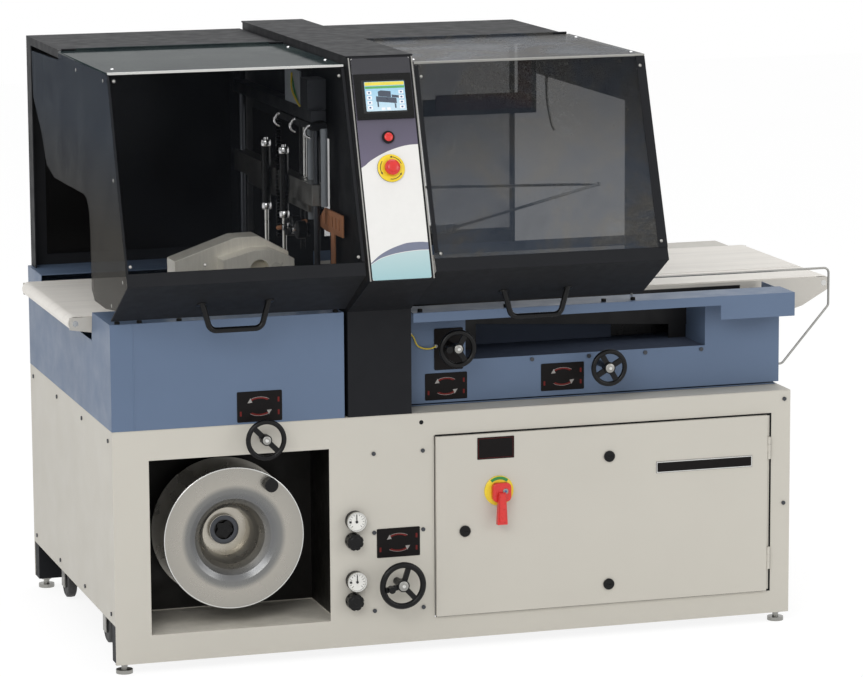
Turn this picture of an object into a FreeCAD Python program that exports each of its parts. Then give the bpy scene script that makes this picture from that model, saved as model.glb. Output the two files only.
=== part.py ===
"""Side sealer for shrink film: base cabinet, scrap winder, belts, seal station, console and hinged hoods.

While modelling, X runs along the front from the base's left side, Y from the front panel into the depth and
Z up from the floor. Each finished piece is moved so that the origin lies on the floor under the machine's middle.
"""
import FreeCAD
import Part
import Sketcher
import math
import os
from types import SimpleNamespace

V = FreeCAD.Vector

# Driving dimensions in millimetres
SIZES = {
    "base_length": 1865.0,
    "base_depth": 1062.0,
    "base_top": 640.0,
    "base_gap": 29.0,
    "sheet_metal": 2.0,
    "tube_side": 50.0,
    "tube_wall": 3.0,
    "rail_drop": 40.0,
    "side_panel_bottom": 129.0,
    "mid_post_gap": 63.0,
    "cross_member_front": 285.0,
    "cross_member_inset": 237.0,
    "foot_radius": 22.0,
    "foot_pad": 10.0,
    "foot_stem": 8.0,
    "caster_inset": 62.0,
    "caster_trail": 30.0,
    "caster_wheel_radius": 45.0,
    "caster_wheel_width": 28.0,
    "caster_lift": 3.0,
    "caster_axle": 6.0,
    "caster_plate": 6.0,
    "opening_left": 95.0,
    "opening_right": 575.0,
    "opening_bottom": 100.0,
    "opening_top": 560.0,
    "bay_depth": 260.0,
    "door_left": 863.0,
    "door_margin": 69.0,
    "door_bottom": 92.0,
    "door_top": 575.0,
    "door_proud": 10.0,
    "door_gap": 3.0,
    "door_return": 20.0,
    "hinge_knuckle": 5.0,
    "hinge_pin": 2.5,
    "hinge_height": 60.0,
    "switch_inset": 172.0,
    "switch_height": 421.0,
    "lever_length": 86.0,
    "lever_width": 28.0,
    "latch_radius": 15.0,
    "winder_across": 327.0,
    "winder_height": 333.0,
    "flange_radius": 188.0,
    "flange_rim_place": 38.0,
    "flange_spacing": 140.0,
    "flange_sheet": 3.0,
    "bowl_radius": 133.0,
    "bowl_depth": 110.0,
    "throat_radius": 62.0,
    "hub_radius": 38.0,
    "winder_shaft_radius": 12.5,
    "gauge_radius": 26.0,
    "gauge_across": 642.0,
    "gauge_upper": 366.0,
    "gauge_lower": 205.0,
    "knob_radius": 22.0,
    "knob_across": 636.0,
    "knob_upper": 313.0,
    "knob_lower": 152.0,
    "seal_wheel_radius": 63.0,
    "seal_wheel_across": 756.0,
    "seal_wheel_height": 195.0,
    "tension_wheel_radius": 54.0,
    "tension_wheel_across": 395.0,
    "tension_wheel_drop": 36.0,
    "former_wheel_radius": 51.0,
    "former_wheel_inset": 121.0,
    "former_wheel_drop": 75.0,
    "guide_wheel_radius": 50.0,
    "guide_wheel_inset": 541.0,
    "guide_wheel_drop": 29.0,
    "housing_length": 618.0,
    "housing_top": 918.0,
    "deck_reach": 212.0,
    "notch_drop": 64.0,
    "notch_gap": 28.0,
    "belt_top": 906.0,
    "belt_front": 230.0,
    "belt_rear_gap": 212.0,
    "belt_sheet": 2.0,
    "belt_split": 407.0,
    "bed_plate": 4.0,
    "nose_radius": 17.0,
    "drive_radius": 28.0,
    "roller_axle": 8.0,
    "left_nose_end": -60.0,
    "jaw_gap": 22.0,
    "right_nose_reach": 209.0,
    "side_table_width": 113.0,
    "frame_setback": 86.0,
    "frame_gap": 6.0,
    "frame_lift": 8.0,
    "window_inset": 169.0,
    "window_margin": 214.0,
    "window_height": 121.0,
    "jamb_depth": 75.0,
    "rail_drop_below_belt": 1.0,
    "rail_face": 25.0,
    "rail_depth": 108.0,
    "rail_reach": 10.0,
    "rail_lip_gap": 12.0,
    "rail_lip_drop": 64.0,
    "bail_radius": 3.0,
    "bail_bend": 14.0,
    "bail_line": 98.0,
    "tower_gap": 10.0,
    "tower_width": 172.0,
    "tower_top": 1579.0,
    "tower_wall": 3.0,
    "console_foot_y": -208.0,
    "console_foot_z": 1026.0,
    "console_head_y": -16.0,
    "console_plate": 4.0,
    "console_trim": 2.0,
    "tunnel_front": 160.0,
    "tunnel_margin": 102.0,
    "tunnel_top": 1350.0,
    "screen_width": 151.0,
    "screen_height": 119.0,
    "screen_low": 420.0,
    "screen_proud": 6.0,
    "button_low": 372.5,
    "button_radius": 11.0,
    "estop_low": 292.0,
    "estop_radius": 20.0,
    "stem_radius": 8.0,
    "hood_top": 1562.0,
    "hood_seam": 585.0,
    "inlet_front": 119.0,
    "inlet_top": 1426.0,
    "stile_margin": 40.0,
    "corner_margin": 10.0,
    "hood_barrel": 3.0,
    "hood_pin": 1.5,
    "hood_knuckle": 40.0,
    "hood_front": -15.0,
    "hood_nose_y": -195.0,
    "hood_nose_z": 1077.0,
    "knuckle_y": -208.0,
    "knuckle_z": 1045.0,
    "skirt_y": -7.0,
    "skirt_z": 928.0,
    "skirt_sheet": 3.0,
    "pane_sheet": 5.0,
    "left_hood_left": 2.0,
    "left_hood_gap": 8.0,
    "right_hood_length": 631.0,
    "corner_strip": 25.0,
    "handle_radius": 7.5,
    "handle_reach": 69.0,
    "handle_bend": 22.0,
    "handle_slant": 22.0,
    "left_handle_line": -85.0,
    "right_handle_line": -66.0,
    "left_handle_left": 220.0,
    "right_handle_inset": 225.0,
    "handle_length": 178.0,
    "rod_radius": 8.0,
    "jaw_setback": 38.0,
    "jaw_front": 150.0,
    "jaw_rear_gap": 132.0,
    "jaw_opening": 274.0,
    "jaw_beam_drop": 162.0,
    "lower_jaw_drop": 6.0,
    "former_rod": 4.0,
    "former_front_y": 20.0,
    "former_front_z": 1121.0,
    "former_high": 1184.0,
    "former_rear_y": 383.0,
    "former_tip_gap": 15.0,
    "former_tip_y": 298.0,
    "running_gap": 0.05,
    "part_gap": 0.3,
}

doc = FreeCAD.newDocument("side_sealer")
sheet = doc.addObject("Spreadsheet::Sheet", "Sizes")


class Size:
    """A length that carries its number and the sheet expression that gives it."""

    def __init__(self, value, text):
        self.value = value
        self.text = text

    def joined(self, other, sign, value):
        return Size(value, f"({self.text} {sign} {other.text})")

    def __add__(self, other):
        other = as_size(other)
        return self.joined(other, "+", self.value + other.value)

    def __sub__(self, other):
        other = as_size(other)
        return self.joined(other, "-", self.value - other.value)

    def __mul__(self, other):
        other = as_size(other)
        return self.joined(other, "*", self.value * other.value)

    def __truediv__(self, other):
        other = as_size(other)
        return self.joined(other, "/", self.value / other.value)

    def __neg__(self):
        return as_size(0) - self

    def __radd__(self, other):
        return as_size(other) + self

    def __rsub__(self, other):
        return as_size(other) - self

    def __rmul__(self, other):
        return as_size(other) * self


def as_size(thing):
    """A plain number as a Size, so that both can stand in one sum."""
    if isinstance(thing, Size):
        return thing
    return Size(float(thing), f"({float(thing):.6f})")


def fill_sheet():
    """Put every driving dimension in its own cell, under its own alias."""
    aliases = {}
    for row, (alias, value) in enumerate(SIZES.items(), start=1):
        sheet.set(f"A{row}", alias)
        sheet.set(f"B{row}", str(value))
        sheet.setAlias(f"B{row}", alias)
        aliases[alias] = Size(value, f"Sizes.{alias}")
    doc.recompute()
    return SimpleNamespace(**aliases)


def tie_sizes():
    """Places that follow from the driving sizes, each kept as a sum of cells."""
    d.cross_member_rear = d.base_depth - d.cross_member_inset
    d.mid_post_left = d.door_left - d.mid_post_gap
    d.door_right = d.base_length - d.door_margin
    d.switch_across = d.door_left + d.switch_inset
    d.tension_wheel_height = d.base_top - d.tension_wheel_drop
    d.belt_back = d.base_depth - d.belt_rear_gap
    d.notch_bottom = d.belt_top - d.notch_drop
    d.notch_back = d.belt_back + d.notch_gap
    d.tower_left = d.housing_length + d.tower_gap
    d.tower_right = d.tower_left + d.tower_width
    d.tunnel_back = d.base_depth - d.tunnel_margin
    d.jaw_across = d.tower_left - d.jaw_setback
    d.jaw_back = d.base_depth - d.jaw_rear_gap
    d.jaw_rest = d.belt_top + d.jaw_opening
    d.jaw_beam_top = d.hood_top - d.jaw_beam_drop
    d.lower_jaw_top = d.belt_top - d.lower_jaw_drop
    d.left_drive_end = d.jaw_across - d.jaw_gap
    d.right_drive_end = d.jaw_across + d.jaw_gap
    d.right_nose_end = d.base_length + d.right_nose_reach
    d.frame_left = d.tower_right + d.frame_gap
    d.frame_bottom = d.base_top + d.frame_lift
    d.rail_top = d.belt_top - d.rail_drop_below_belt
    d.rail_end = d.base_length + d.rail_reach
    d.window_left = d.frame_left + d.window_inset
    d.window_right = d.base_length - d.window_margin
    d.window_top = d.rail_top - d.rail_face
    d.window_bottom = d.window_top - d.window_height
    d.rail_lip_left = d.window_right + d.rail_lip_gap
    d.rail_lip_bottom = d.rail_top - d.rail_lip_drop
    d.former_wheel_across = d.frame_left + d.former_wheel_inset
    d.former_wheel_height = d.window_top - d.former_wheel_drop
    d.guide_wheel_across = d.frame_left + d.guide_wheel_inset
    d.guide_wheel_height = d.window_bottom - d.guide_wheel_drop
    d.left_hood_right = d.tower_left - d.left_hood_gap
    d.right_hood_left = d.frame_left
    d.right_hood_right = d.right_hood_left + d.right_hood_length
    d.right_handle_left = d.right_hood_left + d.right_handle_inset
    d.former_tip_x = d.right_hood_right - d.former_tip_gap


d = fill_sheet()
tie_sizes()
pieces = []
homes = {}
ALONG = {
    "x": FreeCAD.Rotation(V(0, 1, 0), 90),
    "y": FreeCAD.Rotation(V(1, 0, 0), -90),
    "z": FreeCAD.Rotation(),
}
FACING_FRONT = FreeCAD.Rotation(V(1, 0, 0), 90)
ORIGIN_X = (d.left_nose_end + d.right_nose_end) / 2


def place(thing, at, rotation=FreeCAD.Rotation()):
    """Put a thing at a point whose coordinates stay bound to the sheet."""
    homes[thing.Name] = (at, rotation)
    thing.Placement = FreeCAD.Placement(V(*(as_size(c).value for c in at)), rotation)
    for axis, coordinate in zip("xyz", at):
        thing.setExpression(f"Placement.Base.{axis}", as_size(coordinate).text)
    return thing


def box(name, low, high):
    """A block between two opposite corners."""
    block = doc.addObject("Part::Box", name)
    for side, start, end in zip(("Length", "Width", "Height"), low, high):
        block.setExpression(side, (as_size(end) - start).text)
    return place(block, low)


def cylinder(name, start, axis, length, radius):
    """A round bar that starts at a point and runs along x, y or z."""
    bar = doc.addObject("Part::Cylinder", name)
    bar.setExpression("Radius", as_size(radius).text)
    bar.setExpression("Height", as_size(length).text)
    return place(bar, start, ALONG[axis])


def ring(name, radius, section):
    """A torus about Z at the origin."""
    torus = doc.addObject("Part::Torus", name)
    torus.setExpression("Radius1", as_size(radius).text)
    torus.setExpression("Radius2", as_size(section).text)
    homes[torus.Name] = ((0, 0, 0), FreeCAD.Rotation())
    return torus


def fuse(name, *parts):
    """One solid from parts that touch or cross."""
    union = doc.addObject("Part::MultiFuse", name)
    union.Shapes = list(parts)
    union.Refine = True
    homes[union.Name] = ((0, 0, 0), FreeCAD.Rotation())
    return union


def cut(name, base, *tools):
    """A base with every tool taken away."""
    result = doc.addObject("Part::Cut", name)
    result.Base = base
    result.Tool = tools[0] if len(tools) == 1 else fuse(name + "_tools", *tools)
    result.Refine = True
    homes[result.Name] = ((0, 0, 0), FreeCAD.Rotation())
    return result


def group(name, *parts):
    """Separate solids that share one node."""
    compound = doc.addObject("Part::Compound", name)
    compound.Links = list(parts)
    homes[compound.Name] = ((0, 0, 0), FreeCAD.Rotation())
    return compound


def outline(body, role, points):
    """A closed sketch on one of the body's own planes, each corner bound to the sheet."""
    sketch = body.newObject("Sketcher::SketchObject", body.Name + "_outline")
    plane = next(f for f in body.Origin.OriginFeatures if f.Role == role)
    sketch.AttachmentSupport = (plane, [""])
    sketch.MapMode = "FlatFace"
    corners = [(as_size(u), as_size(v)) for u, v in points]
    count = len(corners)
    for index in range(count):
        u, v = corners[index]
        next_u, next_v = corners[(index + 1) % count]
        start = V(u.value, v.value, 0)
        end = V(next_u.value, next_v.value, 0)
        sketch.addGeometry(Part.LineSegment(start, end), False)
    sketch.addConstraint(
        [Sketcher.Constraint("Coincident", i, 2, (i + 1) % count, 1) for i in range(count)]
    )
    for index, corner in enumerate(corners):
        for kind, letter, size in zip(("DistanceX", "DistanceY"), "uv", corner):
            number = sketch.addConstraint(Sketcher.Constraint(kind, -1, 1, index, 1, size.value))
            sketch.renameConstraint(number, f"{letter}{index}")
            sketch.setExpression(f"Constraints.{letter}{index}", size.text)
    return sketch


def profile(name, role, points, start, end):
    """A flat outline on the YZ, XZ or XY plane, padded from start to end along the plane's axis."""
    body = doc.addObject("PartDesign::Body", name)
    sketch = outline(body, role, points)
    pad = body.newObject("PartDesign::Pad", name + "_pad")
    pad.Profile = sketch
    pad.setExpression("Length", (as_size(end) - start).text)
    pad.Reversed = role == "XZ_Plane"
    sketch.Visibility = False
    body.Tip = pad
    at = {"YZ_Plane": (start, 0, 0), "XZ_Plane": (0, start, 0), "XY_Plane": (0, 0, start)}[role]
    return place(body, at)


def lathe(name, points, at, rotation):
    """A half outline of radii and heights, turned about Z."""
    body = doc.addObject("PartDesign::Body", name)
    sketch = outline(body, "XZ_Plane", points)
    turned = body.newObject("PartDesign::Revolution", name + "_turn")
    turned.Profile = sketch
    turned.ReferenceAxis = (sketch, ["V_Axis"])
    turned.Angle = 360.0
    body.Tip = turned
    return place(body, at, rotation)


def bent_rod(name, points, radius, bend):
    """A round rod along straight runs, with an arc at each inner point."""
    corners = [V(*(as_size(c).value for c in point)) for point in points]
    edges = []
    start = corners[0]
    for before, corner, after in zip(corners, corners[1:], corners[2:]):
        inward = (before - corner).normalize()
        outward = (after - corner).normalize()
        half = inward.getAngle(outward) / 2
        middle = (inward + outward).normalize()
        first = corner + inward * (bend.value / math.tan(half))
        last = corner + outward * (bend.value / math.tan(half))
        crown = corner + middle * (bend.value / math.sin(half) - bend.value)
        edges.append(Part.LineSegment(start, first).toShape())
        edges.append(Part.Arc(first, crown, last).toShape())
        start = last
    edges.append(Part.LineSegment(start, corners[-1]).toShape())
    section = Part.Wire(Part.makeCircle(radius.value, corners[0], corners[1] - corners[0]))
    rod = doc.addObject("Part::Feature", name)
    rod.Shape = Part.Wire(edges).makePipeShell([section], True, True)
    homes[rod.Name] = ((0, 0, 0), FreeCAD.Rotation())
    return rod


def hull_wire(left, left_radius, right, right_radius):
    """The line around two circles in the XZ plane, as a belt runs around two rollers."""
    span = right - left
    lean = math.atan2(span.z, span.x)
    spread = math.acos((left_radius - right_radius) / span.Length)

    def rim(centre, radius, angle):
        return centre + V(math.cos(angle), 0, math.sin(angle)) * radius

    left_up = rim(left, left_radius, lean + spread)
    right_up = rim(right, right_radius, lean + spread)
    left_down = rim(left, left_radius, lean - spread)
    right_down = rim(right, right_radius, lean - spread)
    return Part.Wire([
        Part.LineSegment(left_up, right_up).toShape(),
        Part.Arc(right_up, rim(right, right_radius, lean), right_down).toShape(),
        Part.LineSegment(right_down, left_down).toShape(),
        Part.Arc(left_down, rim(left, left_radius, lean + math.pi), left_up).toShape(),
    ])


def belt_loop(name, left, left_radius, right, right_radius, front, back):
    """An endless belt around two rollers, between two Y places."""
    low = V(left[0].value, front.value, left[1].value)
    high = V(right[0].value, front.value, right[1].value)
    thick = d.belt_sheet.value
    inner = Part.Face(hull_wire(low, left_radius.value, high, right_radius.value))
    outer = Part.Face(hull_wire(low, left_radius.value + thick, high, right_radius.value + thick))
    loop = doc.addObject("Part::Feature", name)
    loop.Shape = outer.cut(inner).extrude(V(0, back.value - front.value, 0))
    homes[loop.Name] = ((0, 0, 0), FreeCAD.Rotation())
    return loop


def finish(label, thing, at=None, rotation=None):
    """Name a finished piece and move it so that the origin is under the machine's middle."""
    home, turn = homes[thing.Name]
    at = home if at is None else at
    turn = turn if rotation is None else rotation
    place(thing, (at[0] - ORIGIN_X, at[1] - ORIGIN_Y, at[2]), turn)
    thing.Label = label
    pieces.append(thing)


# Places worked out from the driving dimensions
SKIN = d.sheet_metal
GAP = d.part_gap
RUN = d.running_gap
slope_rise = d.tower_top - d.console_foot_z
slope_run = d.console_head_y - d.console_foot_y
SLOPE_LENGTH = math.hypot(slope_rise.value, slope_run.value)
CONSOLE_TILT = math.degrees(math.atan2(slope_rise.value, slope_run.value))
ON_CONSOLE = FreeCAD.Rotation(V(1, 0, 0), CONSOLE_TILT)
CONSOLE_FOOT = (d.tower_left, d.console_foot_y, d.console_foot_z)
console_front_y = d.console_foot_y - (d.console_plate + d.console_trim) * (slope_rise.value / SLOPE_LENGTH)
ORIGIN_Y = (console_front_y + d.base_depth) / 2
POST_PLACES_X = (SKIN, d.base_length - SKIN - d.tube_side)
POST_PLACES_Y = (SKIN, d.base_depth - SKIN - d.tube_side)
CASTER_LINES_Y = (d.cross_member_front + d.tube_side / 2, d.cross_member_rear + d.tube_side / 2)
CASTER_LINES_X = (d.caster_inset, d.base_length - d.caster_inset)


def build_base_frame():
    """Welded square tube: corner and middle posts, rails all round and two cross members for the casters."""
    foot_cap = 8
    side, drop = d.tube_side, d.rail_drop
    front, rear = POST_PLACES_Y
    left, right = POST_PLACES_X
    top = d.base_top - SKIN
    members = []
    for x in (left, d.mid_post_left, right):
        for y in (front, rear):
            members.append(("z", (x, y, d.base_gap), (x + side, y + side, top)))
    for y in (front, rear):
        members.append(("x", (left, y, d.base_gap), (right + side, y + side, d.base_gap + drop)))
        members.append(("x", (left, y, top - drop), (right + side, y + side, top)))
    for x in (left, right):
        members.append(("y", (x, front, top - drop), (x + side, rear + side, top)))
        low = d.side_panel_bottom
        members.append(("y", (x, front, low), (x + side, rear + side, low + drop)))
    for y in (d.cross_member_front, d.cross_member_rear):
        low = d.side_panel_bottom
        members.append(("x", (left, y, low), (right + side, y + side, low + drop)))
    outers, bores = [], []
    wall = d.tube_wall
    for number, (axis, low, high) in enumerate(members):
        outers.append(box(f"tube_{number}", low, high))
        inset = [0 if axis == "xyz"[i] else wall for i in range(3)]
        bore_low = [c + inset[i] for i, c in enumerate(low)]
        bore_high = [c - inset[i] for i, c in enumerate(high)]
        if axis == "z":
            bore_low[2] = bore_low[2] + foot_cap
        if axis != "z":
            shrink = "xyz".index(axis)
            bore_low[shrink] = bore_low[shrink] + wall
            bore_high[shrink] = bore_high[shrink] - wall
        bores.append(box(f"tube_bore_{number}", tuple(bore_low), tuple(bore_high)))
    finish("base_frame", cut("base_frame", fuse("frame_tubes", *outers), *bores))


def build_front_panel():
    """The one-piece front skin with its openings and the door's fixed hinge halves."""
    skin = box("front_skin", (0, 0, d.base_gap), (d.base_length, SKIN, d.base_top - SKIN))
    lip = 12
    low = d.base_gap
    bottom_lip = box("front_lip", (0, 0, low - SKIN), (d.base_length, lip, low))
    door_gap = d.door_gap
    holes = [
        box("winder_hole", (d.opening_left, 0, d.opening_bottom), (d.opening_right, SKIN, d.opening_top)),
        box(
            "door_hole",
            (d.door_left - door_gap, 0, d.door_bottom - door_gap),
            (d.door_right + door_gap, SKIN, d.door_top + door_gap),
        ),
        cylinder("seal_wheel_hole", (d.seal_wheel_across, 0, d.seal_wheel_height), "y", SKIN, 10 + RUN),
        cylinder("tension_hole", (d.tension_wheel_across, 0, d.tension_wheel_height), "y", SKIN, 8 + RUN),
        cylinder("spare_hole", (826, 0, 615), "y", SKIN, 6),
    ]
    for number, height in enumerate((d.gauge_upper, d.gauge_lower)):
        holes.append(cylinder(f"gauge_hole_{number}", (d.gauge_across, 0, height), "y", SKIN, 7 + GAP))
    for number, height in enumerate((d.knob_upper, d.knob_lower)):
        holes.append(cylinder(f"knob_hole_{number}", (d.knob_across, 0, height), "y", SKIN, 6 + RUN))
    panel = cut("front_sheet", fuse("front_blank", skin, bottom_lip), *holes)
    hinge_parts = [panel]
    for number, centre in enumerate(hinge_heights()):
        third = d.hinge_height / 3
        start = centre - d.hinge_height / 2
        for low_z in (start, start + 2 * third + GAP):
            tag = f"{number}_{len(hinge_parts)}"
            hinge_parts.append(
                cylinder(f"knuckle_{tag}", (hinge_x, hinge_y, low_z), "z", third - GAP, d.hinge_knuckle)
            )
            leaf_low = (hinge_x, hinge_y, low_z)
            leaf_high = (hinge_x + d.hinge_knuckle, 0, low_z + third - GAP)
            hinge_parts.append(box(f"leaf_{tag}", leaf_low, leaf_high))
        pin = (hinge_x, hinge_y, start)
        hinge_parts.append(cylinder(f"hinge_pin_{number}", pin, "z", d.hinge_height, d.hinge_pin))
    finish("base_front_panel", fuse("front_panel", *hinge_parts))


hinge_x = d.door_right + d.hinge_knuckle + 1
hinge_y = -(d.hinge_knuckle + 1)


def hinge_heights():
    """Middles of the door's two hinges."""
    inset = d.hinge_height * 1.5
    return (d.door_bottom + inset, d.door_top - inset)


def build_base_panels():
    """Left, right and rear skins and the deck, each a separate sheet."""
    top = d.base_top - SKIN
    length, depth = d.base_length, d.base_depth
    low = d.side_panel_bottom
    left = box("left_skin", (0, SKIN, low), (SKIN, depth - SKIN, top))
    right = box("right_skin", (length - SKIN, SKIN, low), (length, depth - SKIN, top))
    rear = box("rear_skin", (0, depth - SKIN, d.base_gap), (length, depth, top))
    deck = box("deck_skin", (0, 0, top), (length, depth, d.base_top))
    finish("base_panels", group("base_panels", left, right, rear, deck))


def build_winder_bay():
    """The five-sided sheet box behind the opening, with the winder's gearmotor on its back."""
    left, right = d.opening_left - 5, d.opening_right + 20
    low, high = d.opening_bottom, d.opening_top + 10
    outer = box("bay_outer", (left - SKIN, SKIN, low - SKIN), (right + SKIN, d.bay_depth + SKIN, high + SKIN))
    inner = box("bay_inner", (left, SKIN, low), (right, d.bay_depth, high))
    centre = (d.winder_across, d.bay_depth, d.winder_height)
    hole = cylinder("bay_hole", centre, "y", SKIN, d.winder_shaft_radius + RUN)
    liner = cut("bay_liner", outer, inner, hole)
    back = d.bay_depth + SKIN
    motor_radius, motor_length, bore_length = 45, 150, 70
    motor = cylinder("motor_body", (d.winder_across, back, d.winder_height), "y", motor_length, motor_radius)
    bore = cylinder(
        "motor_bore", (d.winder_across, back, d.winder_height), "y", bore_length, d.winder_shaft_radius + RUN
    )
    finish("winder_bay", group("winder_bay", liner, cut("winder_motor", motor, bore)))


def build_winder():
    """Shaft, spun trumpet-shaped flange with its knob, and the flat rear flange."""
    x, z = d.winder_across, d.winder_height
    rim = d.flange_rim_place
    bore = d.winder_shaft_radius + 2 * RUN
    sheet_metal = d.flange_sheet
    bowl = d.bowl_depth
    throat = d.throat_radius
    floor = bowl + 8
    nose, seat = floor - 12, floor - 2
    steps = 7
    front, back = [], []
    for step in range(steps + 1):
        turn = math.radians(90 * step / steps)
        radius = d.bowl_radius - (d.bowl_radius - throat) * math.sin(turn)
        height = bowl * (1 - math.cos(turn))
        front.append((radius, height))
        back.append((radius + sheet_metal * math.sin(turn), height + sheet_metal * math.cos(turn)))
    points = [(d.flange_radius, 0)] + front
    points += [(throat, floor), (d.hub_radius + 2, floor), (d.hub_radius + 2, nose), (26, nose), (26, seat)]
    points += [(bore, seat), (bore, floor + 8), (throat + sheet_metal, floor + 8)]
    points += back[::-1]
    points += [(d.flange_radius, sheet_metal)]
    dish = lathe("dish", points, (x, rim, z), ALONG["y"])
    knob_circle = 168
    angle = math.radians(55)
    knob_x = x + knob_circle * math.cos(angle)
    knob_z = z + knob_circle * math.sin(angle)
    knob = fuse(
        "knob",
        cylinder("knob_grip", (knob_x, rim - 25, knob_z), "y", 20, 18),
        cylinder("knob_stem", (knob_x, rim - 5, knob_z), "y", 5, 6),
    )
    finish("winder_front_flange", dish)
    finish("winder_knob", knob)
    rear = rim + d.flange_spacing
    front_end = rim + floor + 8 + GAP
    sleeve = cylinder("sleeve", (x, front_end, z), "y", rear - front_end, d.hub_radius)
    disc = cylinder("rear_disc", (x, rear, z), "y", sheet_metal, d.flange_radius)
    hole = cylinder("rear_bore", (x, front_end, z), "y", rear + sheet_metal - front_end, bore)
    finish("winder_rear_flange", cut("winder_rear_flange", fuse("rear_blank", sleeve, disc), hole))
    start = rim + seat
    finish(
        "winder_shaft",
        cylinder("winder_shaft", (x, start, z), "y", d.bay_depth + SKIN + 60 - start, d.winder_shaft_radius),
    )


def build_feet():
    """A pad, a stem and a lock nut under each corner post."""
    feet = []
    for x in POST_PLACES_X:
        for y in POST_PLACES_Y:
            tag = str(len(feet))
            centre_x, centre_y = x + d.tube_side / 2, y + d.tube_side / 2
            pad = cylinder("pad" + tag, (centre_x, centre_y, 0), "z", d.foot_pad, d.foot_radius)
            top = d.base_gap
            stem = cylinder("stem" + tag, (centre_x, centre_y, 0), "z", top, d.foot_stem)
            nut = doc.addObject("Part::Prism", "nut" + tag)
            nut.Polygon = 6
            nut.Circumradius = 14
            nut.Height = 7
            place(nut, (centre_x, centre_y, top - 7))
            feet.append(fuse("foot" + tag, pad, stem, nut))
    finish("levelling_feet", group("levelling_feet", *feet))


def fork_cheeks(tag, x, y, top):
    """Two cheeks and the axle between them, for a wheel whose axle is at y."""
    half = d.caster_wheel_width / 2 + 2
    cheek = 3
    axle_z = d.caster_wheel_radius + d.caster_lift
    parts = []
    for side, inner in enumerate((x - half - cheek, x + half)):
        low = (inner, y - 18, axle_z - 14)
        parts.append(box(f"cheek_{tag}_{side}", low, (inner + cheek, y + 18, top)))
    axle_start = (x - half - cheek, y, axle_z)
    parts.append(cylinder(f"axle_{tag}", axle_start, "x", 2 * (half + cheek), d.caster_axle))
    return parts


def build_casters():
    """Two swivel casters at the left end and two fixed ones at the right, lifted off the floor by the feet."""
    plate_top = d.side_panel_bottom
    plate_low = plate_top - d.caster_plate
    mounts = []
    stem_radius = 8
    for end, x in enumerate(CASTER_LINES_X):
        for row, y in enumerate(CASTER_LINES_Y):
            tag = f"{end}{row}"
            plate = box(f"caster_plate_{tag}", (x - 35, y - 45, plate_low), (x + 35, y + 45, plate_top))
            if end == 0:
                race = cylinder(f"race_{tag}", (x, y, plate_low - 6), "z", 6, 25)
                hole = cylinder(f"race_hole_{tag}", (x, y, plate_low - 6), "z", 12, stem_radius + RUN)
                mounts.append(cut(f"mount_{tag}", fuse(f"mount_blank_{tag}", plate, race), hole))
                build_swivel_fork(row, x, y, plate_low - 6 - GAP, stem_radius)
                wheel_y = y + d.caster_trail
            else:
                cheeks = fork_cheeks(tag, x, y, plate_low)
                mounts.append(fuse(f"mount_{tag}", plate, *cheeks))
                wheel_y = y
            build_caster_wheel(f"caster_wheel_{('left', 'right')[end]}_{('front', 'rear')[row]}", x, wheel_y)
    finish("caster_mounts", group("caster_mounts", *mounts))


def build_swivel_fork(row, x, y, top, stem_radius):
    """A fork that turns on its stem, with the wheel trailing behind the stem."""
    crown_low = top - 6
    half = d.caster_wheel_width / 2 + 5
    parts = fork_cheeks(f"swivel_{row}", x, y + d.caster_trail, top)
    parts.append(box(f"crown_{row}", (x - half, y - 22, crown_low), (x + half, y + d.caster_trail + 18, top)))
    parts.append(cylinder(f"swivel_stem_{row}", (x, y, crown_low), "z", 6 + GAP + 8, stem_radius))
    finish(f"caster_fork_{('front', 'rear')[row]}", fuse(f"caster_fork_{row}", *parts))


def build_caster_wheel(label, x, y):
    """A wheel with a crowned tread and a bore for its axle."""
    radius, width = d.caster_wheel_radius, d.caster_wheel_width
    bore = d.caster_axle + RUN
    points = [(bore, 0), (18, 0), (18, 3), (radius - 8, 3), (radius - 6, 1), (radius - 1, 4)]
    points += [(radius, width / 2)]
    points += [(radius - 1, width - 4), (radius - 6, width - 1), (radius - 8, width - 3)]
    points += [(18, width - 3), (18, width), (bore, width)]
    at = (x - width / 2, y, radius + d.caster_lift)
    finish(label, lathe(label, points, at, ALONG["x"]))


def build_gauges():
    """Two pressure gauges: a case with a recessed face, and its stem through the panel."""
    gauges = []
    depth = 24
    for tag, z in enumerate((d.gauge_upper, d.gauge_lower)):
        x = d.gauge_across
        case = cylinder(f"case_{tag}", (x, -depth, z), "y", depth, d.gauge_radius)
        stem = cylinder(f"gauge_stem_{tag}", (x, 0, z), "y", 30, 7)
        recess = cylinder(f"recess_{tag}", (x, -depth, z), "y", 3, d.gauge_radius - 3)
        needle = box(f"needle_{tag}", (x - 1, -depth + 1, z - 4), (x + 1, -depth + 3, z + 18))
        gauges.append(fuse(f"gauge_{tag}", cut(f"gauge_body_{tag}", fuse(f"blank_{tag}", case, stem), recess), needle))
    finish("gauges", group("gauges", *gauges))


def build_regulator_knobs():
    """Two fluted knobs, each on a stem that turns in the panel."""
    for tag, z in (("upper", d.knob_upper), ("lower", d.knob_lower)):
        x = d.knob_across
        grip = cylinder(f"grip_{tag}", (x, -30, z), "y", 26, d.knob_radius)
        stem = cylinder(f"knob_stem_{tag}", (x, -4, z), "y", 18, 6)
        flutes = []
        for number in range(8):
            angle = math.radians(45 * number)
            place_x = x + (d.knob_radius + 3) * math.cos(angle)
            place_z = z + (d.knob_radius + 3) * math.sin(angle)
            flutes.append(cylinder(f"flute_{tag}_{number}", (place_x, -30, place_z), "y", 20, 5))
        knob = fuse(f"regulator_knob_{tag}", cut(f"fluted_{tag}", grip, *flutes), stem)
        finish(f"regulator_knob_{tag}", knob)


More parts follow.
